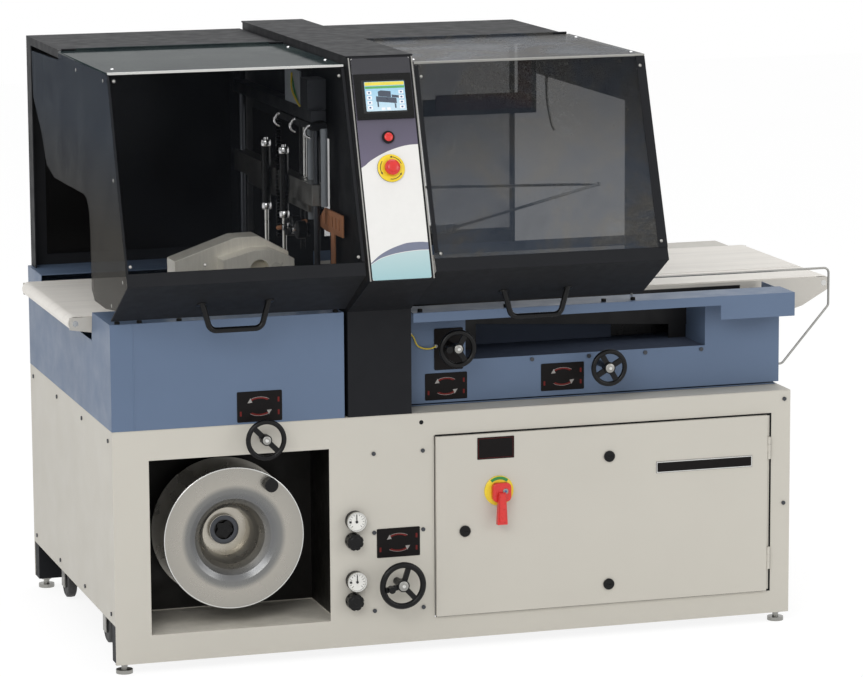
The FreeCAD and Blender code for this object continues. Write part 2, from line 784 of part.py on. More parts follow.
def handwheel(name, radius, rim, angles, hub, shaft, reach, grip=True):
    """A rim on flat spokes, a hub and a shaft of the given reach behind the rim's plane, built about Z."""
    parts = [ring(name + "_rim", radius - rim, rim)]
    width, thick = 14, 7
    for number, degrees in enumerate(angles):
        angle = math.radians(degrees)
        spoke = doc.addObject("Part::Box", f"{name}_spoke_{number}")
        spoke.Length = width
        spoke.Width = 1
        spoke.setExpression("Width", (radius - rim).text)
        spoke.Height = thick
        turn = FreeCAD.Rotation(V(0, 0, 1), degrees)
        place(spoke, (-width / 2 * math.cos(angle), -width / 2 * math.sin(angle), -thick / 2), turn)
        parts.append(spoke)
    parts.append(cylinder(name + "_hub", (0, 0, -hub), "z", hub + 8, hub))
    parts.append(cylinder(name + "_shaft", (0, 0, -reach), "z", reach, shaft))
    if grip:
        angle = math.radians(angles[0])
        place_x = -(radius - rim) * 0.62 * math.sin(angle)
        place_y = (radius - rim) * 0.62 * math.cos(angle)
        parts.append(cylinder(name + "_grip", (place_x, place_y, -thick / 2), "z", 20, 9))
    return fuse(name, *parts)


def build_handwheels():
    """Four handwheels: seal height, scrap tension, former height and guide width."""
    face = d.frame_setback
    wheels = (
        ("seal_height_wheel", d.seal_wheel_radius, 8, (102, 342, 222), 16, 10, 57, 25, True,
         (d.seal_wheel_across, d.seal_wheel_height), 0),
        ("tension_wheel", d.tension_wheel_radius, 6.5, (45, 225), 14, 8, 45, SKIN.value, False,
         (d.tension_wheel_across, d.tension_wheel_height), 0),
        ("former_height_wheel", d.former_wheel_radius, 7, (90, 210, 330), 14, 8, 86, 12, True,
         (d.former_wheel_across, d.former_wheel_height), face),
        ("guide_width_wheel", d.guide_wheel_radius, 6.5, (30, 120, 210, 300), 15, 8, 86, 12, False,
         (d.guide_wheel_across, d.guide_wheel_height), face),
    )
    for label, radius, rim, angles, hub, shaft, stand_off, behind, grip, centre, plane in wheels:
        wheel = handwheel(label, radius, rim, angles, hub, shaft, stand_off + behind, grip)
        finish(label, wheel, (centre[0], plane - stand_off, centre[1]), FACING_FRONT)


def screw_heads():
    """Middles of the screw heads: x, y, z and the axis that each one faces."""
    heads = []
    for x in (d.opening_right + 120, d.door_left - 34):
        for z in (d.opening_top - 20, 329, d.opening_bottom + 19):
            heads.append((x, -3, z, "y"))
    heads.append((d.base_length - 18, -3, d.base_top - 24, "y"))
    heads.append((d.base_length - 18, -3, 330, "y"))
    for z in (d.side_panel_bottom + 25, d.base_top - 30):
        for step in range(4):
            y = 45 + (d.base_depth - 90) * (step / 3)
            heads.append((-3, y, z, "x"))
    for step in range(4):
        heads.append((d.window_right - 11 - 160 * step, d.frame_setback - 3, d.window_bottom - 10, "y"))
    return heads


def build_screws():
    """Pan heads on the base and on the blue frame, one node of separate solids."""
    screws = []
    for number, (x, y, z, axis) in enumerate(screw_heads()):
        screws.append(cylinder(f"screw_{number}", (x, y, z), axis, 3, 5.5))
    finish("panel_screws", group("panel_screws", *screws))


def build_door():
    """A sheet pan with folded edges and the moving hinge knuckles."""
    low = (d.door_left, -d.door_proud, d.door_bottom)
    high = (d.door_right, d.door_return - d.door_proud, d.door_top)
    pan = box("pan_outer", low, high)
    hollow = box(
        "pan_inner",
        (d.door_left + SKIN, SKIN - d.door_proud, d.door_bottom + SKIN),
        (d.door_right - SKIN, d.door_return - d.door_proud, d.door_top - SKIN),
    )
    holes = []
    for number, (x, z) in enumerate(latch_places()):
        holes.append(cylinder(f"latch_hole_{number}", (x, -d.door_proud, z), "y", SKIN, 6 + RUN))
    switch = (d.switch_across, -d.door_proud, d.switch_height)
    holes.append(cylinder("switch_hole", switch, "y", SKIN, 6 + RUN))
    parts = [cut("pan", pan, hollow, *holes)]
    bores = []
    for number, centre in enumerate(hinge_heights()):
        third = d.hinge_height / 3
        start = centre - third / 2 + GAP / 2
        parts.append(
            cylinder(f"door_knuckle_{number}", (hinge_x, hinge_y, start), "z", third - GAP, d.hinge_knuckle)
        )
        leaf_low = (d.door_right, hinge_y - 2, start)
        parts.append(box(f"door_leaf_{number}", leaf_low, (hinge_x, hinge_y + 2, start + third - GAP)))
        bore = (hinge_x, hinge_y, start)
        bores.append(cylinder(f"door_bore_{number}", bore, "z", third - GAP, d.hinge_pin + RUN))
    finish("electrical_door", cut("electrical_door", fuse("door_blank", *parts), *bores))


def latch_places():
    """Middles of the door's three quarter-turn latches."""
    return (
        (d.door_left + 78, d.door_bottom + 226),
        (d.door_left + 481, d.door_top - 82),
        (d.door_left + 480, d.door_bottom + 53),
    )


def build_latches():
    """Each latch is a slotted head, a stem through the door skin and a cam behind it."""
    face = -d.door_proud
    for number, (x, z) in enumerate(latch_places(), start=1):
        head = cylinder(f"latch_head_{number}", (x, face - 4, z), "y", 4 - GAP, d.latch_radius)
        stem = cylinder(f"latch_stem_{number}", (x, face - 4, z), "y", 13, 6)
        cam = box(f"latch_cam_{number}", (x - 55, face + 6, z - 8), (x + 8, face + 9, z + 8))
        slot = box(f"latch_slot_{number}", (x - 9, face - 4, z - 1.5), (x + 9, face - 2.5, z + 1.5))
        latch = cut(f"latch_{number}", fuse(f"latch_blank_{number}", head, stem, cam), slot)
        finish(f"door_latch_{number}", latch)


def build_disconnect_lever():
    """The main switch's rotor with its lever, on a shaft through the door skin."""
    x, z = d.switch_across, d.switch_height
    face = -d.door_proud
    half = d.lever_width / 2
    rotor = cylinder("rotor", (x, face - 22, z), "y", 22 - GAP, 19)
    shaft = cylinder("rotor_shaft", (x, face - 22, z), "y", 40, 6)
    lever = profile(
        "lever_bar",
        "XZ_Plane",
        [(x - half + 4, z), (x + half - 4, z), (x + half, z - d.lever_length), (x - half, z - d.lever_length)],
        face - 34,
        face - 20,
    )
    finish("disconnect_lever", fuse("disconnect_lever", rotor, shaft, lever))


def side_outline():
    """The blue housing's end, with the notch that the belt leaves through."""
    front_top = d.deck_reach
    return [
        (SKIN, d.base_top),
        (d.base_depth - SKIN, d.base_top),
        (d.base_depth - SKIN, d.housing_top - SKIN),
        (d.notch_back, d.housing_top - SKIN),
        (d.notch_back, d.notch_bottom),
        (front_top + 12, d.notch_bottom),
        (front_top, d.housing_top - SKIN),
        (SKIN, d.housing_top - SKIN),
    ]


def build_left_housing():
    """Blue sheet housing under the outfeed belt."""
    length, top = d.housing_length, d.housing_top
    face = box("housing_face", (0, 0, d.base_top), (length, SKIN, top))
    deck = box("housing_deck", (0, 0, top - SKIN), (length, d.deck_reach, top))
    post = box("housing_seam", (58, -1, d.base_top), (61, 0, top))
    finish("left_housing_front", fuse("left_housing_front", face, deck, post))
    left = profile("housing_left", "YZ_Plane", side_outline(), 0, SKIN)
    right = profile("housing_right", "YZ_Plane", side_outline(), length - SKIN, length)
    depth = d.base_depth
    rear = box("housing_rear", (0, depth - SKIN, d.base_top), (length, depth, top - SKIN))
    ledge = box("housing_ledge", (0, d.notch_back, top - SKIN), (length, depth, top))
    finish("left_housing_panels", group("left_housing_panels", left, right, rear, ledge))


def conveyor_bed(label, plate_points, slider_ends, legs, ties, extra):
    """Two side plates with legs down to the deck, a slider plate under the belt and ties between the plates."""
    plate = d.bed_plate
    rows = ((d.belt_front, d.belt_front + plate), (d.belt_back - plate, d.belt_back))
    parts = list(extra)
    slider_top = d.belt_top - d.belt_sheet - GAP
    for number, (front, back) in enumerate(rows):
        parts.append(profile(f"{label}_plate_{number}", "XZ_Plane", plate_points, front, back))
        for side, leg in enumerate(legs):
            leg_low = (leg, front, d.base_top)
            parts.append(box(f"{label}_leg_{number}_{side}", leg_low, (leg + 50, back, d.belt_top - 30)))
    parts.append(
        box(
            label + "_slider",
            (slider_ends[0], d.belt_front + plate, slider_top - 3),
            (slider_ends[1], d.belt_back - plate, slider_top),
        )
    )
    for number, tie in enumerate(ties):
        low = (tie, d.belt_front + plate, slider_top - 30)
        parts.append(box(f"{label}_tie_{number}", low, (tie + 40, d.belt_back - plate, slider_top - 3)))
    return parts


def roller(label, centre, radius):
    """A drum between the side plates with its axle stubs in them."""
    plate = d.bed_plate
    clear = 1.5
    length = d.belt_back - d.belt_front - 2 * plate
    drum = cylinder(label + "_drum", (centre[0], d.belt_front + plate + clear, centre[1]), "y",
                    length - 2 * clear, radius - GAP)
    axle = cylinder(label + "_axle", (centre[0], d.belt_front, centre[1]), "y",
                    d.belt_back - d.belt_front, d.roller_axle)
    finish(label, fuse(label, drum, axle))


def axle_holes(label, centres):
    """Tools that bore the side plates for the roller axles."""
    return [
        cylinder(f"{label}_axle_hole_{number}", (x, d.belt_front, z), "y",
                 d.belt_back - d.belt_front, d.roller_axle + RUN)
        for number, (x, z) in enumerate(centres)
    ]


def build_left_conveyor():
    """Outfeed belt with its nose roller past the housing and its drive roller at the jaws."""
    thick = d.belt_sheet
    nose = (d.left_nose_end + thick + d.nose_radius, d.belt_top - thick - d.nose_radius)
    drive = (d.left_drive_end - thick - d.drive_radius, d.belt_top - thick - d.drive_radius)
    top = d.belt_top - 3
    tip = d.left_nose_end + 4
    points = [(tip, top), (tip, top - 32), (70, top - 52), (d.left_drive_end - 5, top - 52)]
    points += [(d.left_drive_end - 5, top)]
    slider = (nose[0] + 20, drive[0] - 30)
    legs = (d.left_drive_end - 318, d.left_drive_end - 138)
    ties = (120, d.left_drive_end - 168)
    parts = conveyor_bed("outfeed", points, slider, legs, ties, [])
    bed = cut("outfeed_bed", fuse("outfeed_bed_blank", *parts), *axle_holes("outfeed", (nose, drive)))
    finish("left_conveyor_bed", bed)
    roller("left_nose_roller", nose, d.nose_radius)
    roller("left_drive_roller", drive, d.drive_radius)
    side = d.bed_plate + 1.5
    loop = belt_loop(
        "left_belt", nose, d.nose_radius, drive, d.drive_radius, d.belt_front + side, d.belt_back - side
    )
    finish("left_belt", loop)


def build_right_conveyor():
    """Infeed belts, a narrow one at the front and a wide one behind it, with a fixed table at the back."""
    thick = d.belt_sheet
    nose = (d.right_nose_end - thick - d.nose_radius, d.belt_top - thick - d.nose_radius)
    drive = (d.right_drive_end + thick + d.drive_radius, d.belt_top - thick - d.drive_radius)
    top = d.belt_top - 3
    tip = d.right_nose_end - 4
    points = [(d.right_drive_end + 5, top), (d.right_drive_end + 5, top - 52)]
    points += [(d.base_length - 165, top - 112)]
    points += [(d.base_length, top - 112), (tip - 78, top - 76), (tip, top - 32), (tip, top)]
    table_back = d.belt_back + d.side_table_width
    table_left, table_right = d.frame_left + 4, d.right_nose_end - 54
    table = box("side_table", (table_left, d.belt_back, top - 1), (table_right, table_back, top + 1))
    fold = box("side_table_fold", (table_left, table_back - 2, top - 30), (table_right, table_back, top + 1))
    slider = (drive[0] + 30, nose[0] - 20)
    legs = (d.frame_left + 194, d.base_length - 265)
    ties = (d.frame_left - 46, d.frame_left + 494, d.base_length - 65)
    parts = conveyor_bed("infeed", points, slider, legs, ties, [table, fold])
    bed = cut("infeed_bed", fuse("infeed_bed_blank", *parts), *axle_holes("infeed", (nose, drive)))
    finish("right_conveyor_bed", bed)
    roller("right_nose_roller", nose, d.nose_radius)
    roller("right_drive_roller", drive, d.drive_radius)
    side = d.bed_plate + 1.5
    rows = ((d.belt_front + side, d.belt_split - 3), (d.belt_split + 3, d.belt_back - side))
    loops = [
        belt_loop(f"belt_{number}", drive, d.drive_radius, nose, d.nose_radius, front, back)
        for number, (front, back) in enumerate(rows)
    ]
    finish("right_belt", group("right_belt", *loops))


def build_right_frame():
    """Blue sheet frame under the infeed belt, with its window, jamb, end plate and rear plate."""
    left, right = d.frame_left, d.base_length
    face_y, low = d.frame_setback, d.frame_bottom
    face = box("frame_face", (left, face_y, low), (right, face_y + SKIN, d.rail_top - SKIN))
    window = box("frame_window", (d.window_left, face_y, d.window_bottom), (d.window_right, face_y + SKIN, d.window_top))
    shaft_holes = []
    for tag, x, z in (
        ("former", d.former_wheel_across, d.former_wheel_height),
        ("guide", d.guide_wheel_across, d.guide_wheel_height),
    ):
        shaft_holes.append(cylinder(f"{tag}_shaft_hole", (x, face_y, z), "y", SKIN, 8 + RUN))
    jamb_low = (d.window_right, face_y + SKIN, d.window_bottom + 15)
    jamb = box("frame_jamb", jamb_low, (d.window_right + SKIN, face_y + d.jamb_depth, d.window_top))
    depth = d.base_depth
    end_points = [
        (face_y, low),
        (depth, low),
        (depth, d.housing_top),
        (d.belt_back + d.side_table_width + 10, d.housing_top),
        (d.belt_back + d.side_table_width + 10, d.belt_top - 120),
        (d.belt_front - 10, d.belt_top - 120),
        (d.belt_front - 20, d.rail_top - SKIN),
        (face_y, d.rail_top - SKIN),
    ]
    end = profile("frame_end", "YZ_Plane", end_points, right - SKIN, right)
    rear = box("frame_rear", (left, depth - SKIN, low), (right, depth, d.housing_top))
    feet = []
    for x in (left + 30, right - 90):
        for y in (face_y + 20, depth - 70):
            tag = f"{len(feet)}"
            feet.append(box(f"frame_foot_{tag}", (x, y, d.base_top), (x + 60, y + 50, low)))
            feet.append(box(f"frame_pad_{tag}", (x, y, low), (x + 60, y + 50, low + 4)))
    floor_front = box("frame_floor_front", (left, face_y, low), (right, face_y + 80, low + SKIN))
    floor_rear = box("frame_floor_rear", (left, depth - 80, low), (right, depth, low + SKIN))
    body = fuse(
        "right_frame_body",
        cut("frame_face_cut", face, window, *shaft_holes),
        jamb,
        end,
        rear,
        floor_front,
        floor_rear,
        *feet,
    )
    finish("right_frame_body", body)


def build_right_rail():
    """The blue rail along the front: a narrow face, a deep lip at the right and a top flange."""
    left, right, top = d.frame_left, d.rail_end, d.rail_top
    low = top - d.rail_face
    face_points = [
        (left, low),
        (d.rail_lip_left, low),
        (d.rail_lip_left, d.rail_lip_bottom),
        (right, d.rail_lip_bottom),
        (right, top - SKIN),
        (left, top - SKIN),
    ]
    face = profile("rail_front", "XZ_Plane", face_points, 0, SKIN)
    flange = box("rail_flange", (left, 0, top - SKIN), (right, d.rail_depth, top))
    end = box("rail_end_cap", (right - SKIN, 0, d.rail_lip_bottom), (right, d.rail_depth, top))
    finish("right_rail", fuse("right_rail", face, flange, end))


def build_guide_bail():
    """The bent rod from the frame's end plate up and over to the rail, which guides the film edge."""
    y = d.bail_line
    high = d.belt_top + 44
    points = [
        (d.base_length, y, d.frame_bottom + 46),
        (d.base_length + 14, y, d.frame_bottom + 46),
        (d.right_nose_end - 61, y, d.rail_lip_bottom + 7),
        (d.right_nose_end - 61, y, high),
        (d.right_hood_right + 8, y, high),
        (d.right_hood_right + 8, y, d.rail_top),
    ]
    finish("guide_bail", bent_rod("guide_bail", points, d.bail_radius, d.bail_bend))


def build_tower():
    """The black portal between the hoods: front column with the console's wedge, top box and rear column."""
    wall = d.tower_wall
    left, right = d.tower_left, d.tower_left + d.tower_width
    depth, top = d.base_depth, d.tower_top
    shell_points = [
        (0, d.base_top),
        (0, d.housing_top),
        (d.console_foot_y, d.console_foot_z),
        (d.console_head_y, top),
        (depth, top),
        (depth, d.base_top),
        (d.tunnel_back, d.base_top),
        (d.tunnel_back, d.tunnel_top),
        (d.tunnel_front, d.tunnel_top),
        (d.tunnel_front, d.base_top),
    ]
    hollow_points = [
        (wall, d.base_top),
        (wall, d.housing_top + 2),
        (d.console_foot_y + 5, d.console_foot_z + 1),
        (d.console_head_y + 2, top - wall),
        (depth - wall, top - wall),
        (depth - wall, d.base_top),
        (d.tunnel_back + wall, d.base_top),
        (d.tunnel_back + wall, d.tunnel_top + wall),
        (d.tunnel_front - wall, d.tunnel_top + wall),
        (d.tunnel_front - wall, d.base_top),
    ]
    shell = profile("tower_outer", "YZ_Plane", shell_points, left, right)
    hollow = profile("tower_inner", "YZ_Plane", hollow_points, left + wall, right - wall)
    holes = []
    for tag, low, radius in (("button", d.button_low, d.button_radius), ("estop", d.estop_low, d.stem_radius)):
        hole = cylinder(f"tower_{tag}_hole", (0, 0, 0), "z", 2 * wall + 6, radius + 4)
        up_y = low.value * slope_run.value / SLOPE_LENGTH
        up_z = low.value * slope_rise.value / SLOPE_LENGTH
        inward_y = (wall + 6) * (slope_rise.value / SLOPE_LENGTH)
        inward_z = (wall + 6) * (slope_run.value / SLOPE_LENGTH)
        at = (
            left + d.tower_width / 2,
            d.console_foot_y + up_y + inward_y,
            d.console_foot_z + up_z - inward_z,
        )
        place(hole, at, ON_CONSOLE)
        holes.append(hole)
    lid = box("tower_lid", (left - 3, d.console_head_y, top), (right + 3, depth, top + 4))
    track_low = (right, 60, d.belt_top + 54)
    track = box("former_track", track_low, (right + 10, 100, d.tunnel_top - 40))
    finish("tower_shell", group("tower_shell", cut("tower", shell, hollow, *holes), lid, track))


def build_console():
    """Plate on the tower's slope with the screen bezel, push button and emergency stop."""
    width = d.tower_width
    plate = d.console_plate
    middle = width / 2
    base = box("console_blank", (0, 0, 0), (width, SLOPE_LENGTH, plate))
    button_ring = cylinder("button_ring", (middle, d.button_low, plate), "z", 4, d.button_radius + 4)
    estop_ring = cylinder("estop_ring", (middle, d.estop_low, plate), "z", 3, d.estop_radius + 16)
    trims = [
        box(f"console_trim_{number}", (x, 0, plate), (x + 4, SLOPE_LENGTH, plate + d.console_trim))
        for number, x in enumerate((0, width - 4))
    ]
    button_bore = cylinder("button_bore", (middle, d.button_low, 0), "z", plate + 4, d.button_radius + RUN)
    estop_bore = cylinder("estop_bore", (middle, d.estop_low, 0), "z", plate + 4, d.stem_radius + RUN)
    panel = cut(
        "console_panel", fuse("console_fused", base, button_ring, estop_ring, *trims), button_bore, estop_bore
    )
    finish("console_panel", panel, CONSOLE_FOOT, ON_CONSOLE)
    side = (width - d.screen_width) / 2
    proud = d.screen_proud
    case = box(
        "screen_case", (side, d.screen_low, plate), (width - side, d.screen_low + d.screen_height, plate + proud)
    )
    inset = 16
    recess = box(
        "screen_recess",
        (side + inset, d.screen_low + inset, plate + proud - 1),
        (width - side - inset, d.screen_low + d.screen_height - inset, plate + proud),
    )
    finish("hmi_bezel", cut("hmi_bezel", case, recess), CONSOLE_FOOT, ON_CONSOLE)
    button = cylinder("button_cap", (middle, d.button_low, 1), "z", 12, d.button_radius)
    finish("push_button", group("push_button_body", button), CONSOLE_FOOT, ON_CONSOLE)
    head_points = [(0, 1), (d.stem_radius, 1), (d.stem_radius, plate + 9), (d.estop_radius, plate + 11)]
    head_points += [(d.estop_radius, plate + 18), (d.estop_radius - 5, plate + 22), (0, plate + 24)]
    head = lathe("mushroom", head_points, (middle, d.estop_low, 0), FreeCAD.Rotation())
    finish("estop_mushroom", group("estop_head", head), CONSOLE_FOOT, ON_CONSOLE)


hood_hinge_y = d.hood_seam + 1.5
hood_hinge_z = d.hood_top + d.hood_barrel + 0.2


def cap_ends():
    """Left and right ends of each rear cap."""
    return (
        ("left", d.left_hood_left + d.pane_sheet + 3, d.left_hood_right),
        ("right", d.right_hood_left, d.right_hood_right - d.pane_sheet - 3),
    )


def cap_margin(tag):
    """How far a rear window stays from its cap's right end: the right hood is clear up to the corner."""
    return d.stile_margin if tag == "left" else d.corner_margin


def build_rear_caps():
    """Black sheet covers over the rear half of each hood, with a window opening in the back wall."""
    caps = []
    wall = 3
    front = d.hood_seam + 3
    depth, top, foot = d.base_depth, d.hood_top, d.housing_top
    for tag, left, right in cap_ends():
        roof = box(f"cap_roof_{tag}", (left, front, top - wall), (right, depth, top))
        lip = box(f"cap_lip_{tag}", (left, front, top - 22), (right, front + wall, top))
        back = box(f"cap_back_{tag}", (left, depth - wall, foot), (right, depth, top))
        window_right = right - cap_margin(tag)
        window = box(f"cap_window_{tag}", (left + 55, depth - wall, foot + 41), (window_right, depth, top - 62))
        stiles = []
        for number, x in enumerate((left, right - wall)):
            post = 60 if tag == "left" or number == 0 else 20
            stiles.append(box(f"cap_stile_{tag}_{number}", (x, depth - post, foot), (x + wall, depth, top)))
            stiles.append(box(f"cap_edge_{tag}_{number}", (x, front, top - 22), (x + wall, depth, top)))
        hinge = [cylinder(f"cap_pin_{tag}", (left, hood_hinge_y, hood_hinge_z), "x", right - left, d.hood_pin)]
        for number, x in enumerate((left, right - d.hood_knuckle)):
            start = (x, hood_hinge_y, hood_hinge_z)
            hinge.append(cylinder(f"cap_knuckle_{tag}_{number}", start, "x", d.hood_knuckle, d.hood_barrel))
            leaf_high = (x + d.hood_knuckle, front + 14, top + 1.5)
            hinge.append(box(f"cap_leaf_{tag}_{number}", (x, hood_hinge_y, top), leaf_high))
        blank = fuse(f"cap_blank_{tag}", roof, lip, back, *stiles)
        caps.append(fuse(f"cap_{tag}", cut(f"cap_cut_{tag}", blank, window), *hinge))
    finish("rear_caps", group("rear_caps", *caps))


def build_rear_windows():
    """Smoked panes behind the window openings of the rear caps."""
    panes = []
    depth, top, foot = d.base_depth, d.hood_top, d.housing_top
    for tag, left, right in cap_ends():
        low = (left + 45, depth - 7, foot + 31)
        high = (right - cap_margin(tag) + 6, depth - 3, top - 52)
        panes.append(box(f"rear_pane_{tag}", low, high))
    finish("rear_windows", group("rear_windows", *panes))


def side_pane_outline():
    """The hood's end pane: it follows the front and is cut away where the product passes."""
    pane = d.pane_sheet
    inner = 6
    return [
        (d.hood_front + inner, d.hood_top - pane),
        (d.hood_nose_y + inner, d.hood_nose_z),
        (d.knuckle_y + inner + 4, d.knuckle_z + 2),
        (d.skirt_y - 52, d.skirt_z + 36),
        (d.skirt_y + 59, d.skirt_z + 24),
        (184, d.belt_top + 47),
        (218, d.belt_top + 72),
        (222, d.belt_top + 216),
        (232, d.belt_top + 274),
        (262, d.belt_top + 305),
        (302, d.belt_top + 311),
        (d.base_depth - 384, d.belt_top + 307),
        (d.base_depth - 288, d.belt_top + 332),
        (d.base_depth - 229, d.hood_top - 247),
        (d.base_depth - 122, d.hood_top - 156),
        (d.base_depth - 114, d.hood_top - 32),
        (d.hood_seam + 3, d.hood_top - 24),
        (d.hood_seam, d.hood_top - pane),
    ]


def inlet_pane_outline():
    """The right hood's end pane: a narrow front strip and a header over the tall infeed opening."""
    pane = d.pane_sheet
    inner = 6
    return [
        (d.hood_front + inner, d.hood_top - pane),
        (d.hood_nose_y + inner, d.hood_nose_z),
        (d.knuckle_y + inner + 4, d.knuckle_z + 2),
        (d.skirt_y - 52, d.skirt_z + 36),
        (d.skirt_y + 59, d.skirt_z + 24),
        (d.inlet_front, d.belt_top + 46),
        (d.inlet_front, d.inlet_top),
        (d.base_depth - 132, d.inlet_top),
        (d.base_depth - 32, d.hood_top - 32),
        (d.hood_seam + 3, d.hood_top - 24),
        (d.hood_seam, d.hood_top - pane),
    ]


def build_hood(tag, left, right, end_left, handle_left, handle_y):
    """A hinged cover: top, front and end panes, a folded skirt with the corner strip, and a bar handle."""
    pane = d.pane_sheet
    skirt = d.skirt_sheet
    top = d.hood_top
    roof = box(f"{tag}_roof", (left, d.hood_front, top - pane), (right, d.hood_seam, top))
    front_points = [
        (d.hood_front, top - pane),
        (d.hood_nose_y, d.hood_nose_z),
        (d.hood_nose_y + 5.4, d.hood_nose_z),
        (d.hood_front + 5.4, top - pane),
    ]
    front = profile(f"{tag}_front", "YZ_Plane", front_points, left, right)
    outline = side_pane_outline() if tag == "left" else inlet_pane_outline()
    end = profile(f"{tag}_end", "YZ_Plane", outline, end_left, end_left + pane)
    cap_left, cap_right = next((low, high) for name, low, high in cap_ends() if name == tag)
    barrel_left = cap_left + d.hood_knuckle + GAP
    barrel_length = cap_right - d.hood_knuckle - GAP - barrel_left
    barrel_start = (barrel_left, hood_hinge_y, hood_hinge_z)
    barrel = fuse(
        f"{tag}_barrel_blank",
        cylinder(f"{tag}_barrel", barrel_start, "x", barrel_length, d.hood_barrel),
        box(
            f"{tag}_hinge_leaf",
            (barrel_left, d.hood_seam - 12, top),
            (barrel_left + barrel_length, hood_hinge_y, top + 1.5),
        ),
    )
    bore = cylinder(f"{tag}_barrel_bore", barrel_start, "x", barrel_length, d.hood_pin + RUN)
    leaf = cut(f"{tag}_hood_hinge", barrel, bore)
    finish(f"{tag}_hood_panes", group(f"{tag}_hood_panes", roof, front, end, leaf))
    skirt_points = [
        (d.hood_nose_y, d.hood_nose_z),
        (d.knuckle_y, d.knuckle_z),
        (d.skirt_y, d.skirt_z),
        (d.skirt_y + 2, d.skirt_z + skirt),
        (d.knuckle_y + skirt + 0.5, d.knuckle_z + 1.5),
        (d.hood_nose_y + 5.4, d.hood_nose_z),
    ]
    band = profile(f"{tag}_band", "YZ_Plane", skirt_points, left, right)
    strip_points = [
        (d.hood_front, top - pane),
        (d.hood_nose_y, d.hood_nose_z),
        (d.hood_nose_y - 2, d.hood_nose_z),
        (d.hood_front - 2, top - pane),
    ]
    outer = left if tag == "left" else right - d.corner_strip
    strip_width = d.corner_strip * 0.2 if tag == "left" else d.corner_strip
    strip = profile(f"{tag}_strip", "YZ_Plane", strip_points, outer, outer + strip_width)
    finish(f"{tag}_hood_skirt", group(f"{tag}_hood_skirt", band, strip))
    lean = math.atan2((d.knuckle_z - d.skirt_z).value, (d.skirt_y - d.knuckle_y).value)
    foot_z = d.knuckle_z.value - (handle_y - d.knuckle_y).value * math.tan(lean) + 8
    bar_z = foot_z - 8 - d.handle_reach
    handle_right = handle_left + d.handle_length
    points = [
        (handle_left, handle_y, foot_z),
        (handle_left + d.handle_slant, handle_y, bar_z),
        (handle_right - d.handle_slant, handle_y, bar_z),
        (handle_right, handle_y, foot_z),
    ]
    bar = bent_rod(f"{tag}_handle_bar", points, d.handle_radius, d.handle_bend)
    above_points = [(d.knuckle_y, d.knuckle_z), (d.skirt_y, d.skirt_z), (d.skirt_y, d.knuckle_z)]
    above = profile(f"{tag}_above_skirt", "YZ_Plane", above_points, handle_left - 20, handle_right + 20)
    finish(f"{tag}_hood_handle", cut(f"{tag}_hood_handle", bar, above))


def build_seal_head_cover():
    """The steel cover with gabled tops over the side seal head, standing on the left housing's deck."""
    foot = d.housing_top
    left, middle, right = d.jaw_across - 390, d.jaw_across - 275, d.jaw_across - 86
    small = [(middle, foot), (right, foot), (right, foot + 138)]
    small += [(right - 57, foot + 164), (middle + 82, foot + 164), (middle, foot + 142)]
    large = [(left, foot), (right, foot), (right, foot + 148)]
    large += [(right - 79, foot + 192), (left + 162, foot + 191), (left, foot + 136)]
    front = profile("cover_front", "XZ_Plane", small, 60, 120)
    rear = profile("cover_rear", "XZ_Plane", large, 120, 205)
    port = cylinder("cover_port", (middle + 97, 60, foot + 114), "y", 40, 25)
    finish("seal_head_cover", cut("seal_head_cover", fuse("cover_blank", front, rear), port))


def build_seal_station():
    """Fixed lower jaw on posts, chromed guide rods and the top beam; the upper jaw slides on the rods."""
    x, front, back = d.jaw_across, d.jaw_front, d.jaw_back
    half = 12
    jaw_front, jaw_back = d.deck_reach + 1, d.belt_back + 15
    lower = [box("lower_bar", (x - half, jaw_front, d.lower_jaw_top - 20), (x + half, jaw_back, d.lower_jaw_top))]
    for number, y in enumerate((jaw_front, jaw_back - 12)):
        lower.append(box(f"jaw_post_{number}", (x - half, y, d.base_top), (x + half, y + 12, d.lower_jaw_top)))
    beam_low = d.jaw_beam_top
    uprights = []
    for number, y in enumerate((front, back)):
        uprights.append(
            cylinder(f"guide_rod_{number}", (x, y, d.housing_top), "z", beam_low - d.housing_top, d.rod_radius)
        )
    uprights.append(box("top_beam", (x - 20, front - 25, beam_low), (x + 20, back + 20, beam_low + 30)))
    uprights.append(box("actuator", (x - 25, front - 10, beam_low + 30), (x + 25, front + 60, beam_low + 110)))
    finish("seal_frame", group("seal_frame", fuse("lower_jaw", *lower), fuse("jaw_portal", *uprights)))
    rest = d.jaw_rest
    carriage = box("carriage", (x - 18, front - 22, rest), (x + 18, back + 22, rest + 55))
    blade = box("blade", (x - 4, jaw_front + 8, rest - 28), (x + 4, jaw_back - 8, rest))
    bores = [
        cylinder(f"carriage_bore_{number}", (x, y, rest), "z", 55, d.rod_radius + RUN)
        for number, y in enumerate((front, back))
    ]
    finish("upper_jaw", cut("upper_jaw", fuse("upper_blank", carriage, blade), *bores))


def build_film_comb():
    """The slotted film comb beside the jaws, on a flat bar from the deck."""
    left = d.jaw_across + 21
    foot = d.housing_top
    outline_points = [(235, foot + 202), (150, foot + 254), (-20, foot + 254)]
    outline_points += [(-20, foot + 197), (130, foot + 194)]
    plate = profile("comb_plate", "YZ_Plane", outline_points, left, left + 5)
    slots = []
    for number in range(5):
        y = 5 + 34 * number
        slots.append(box(f"comb_slot_{number}", (left, y, foot + 212), (left + 5, y + 12, foot + 240)))
    bar = box("comb_bar", (left, 60, foot), (left + 5, 92, foot + 200))
    finish("film_comb", fuse("film_comb", cut("comb_cut", plate, *slots), bar))


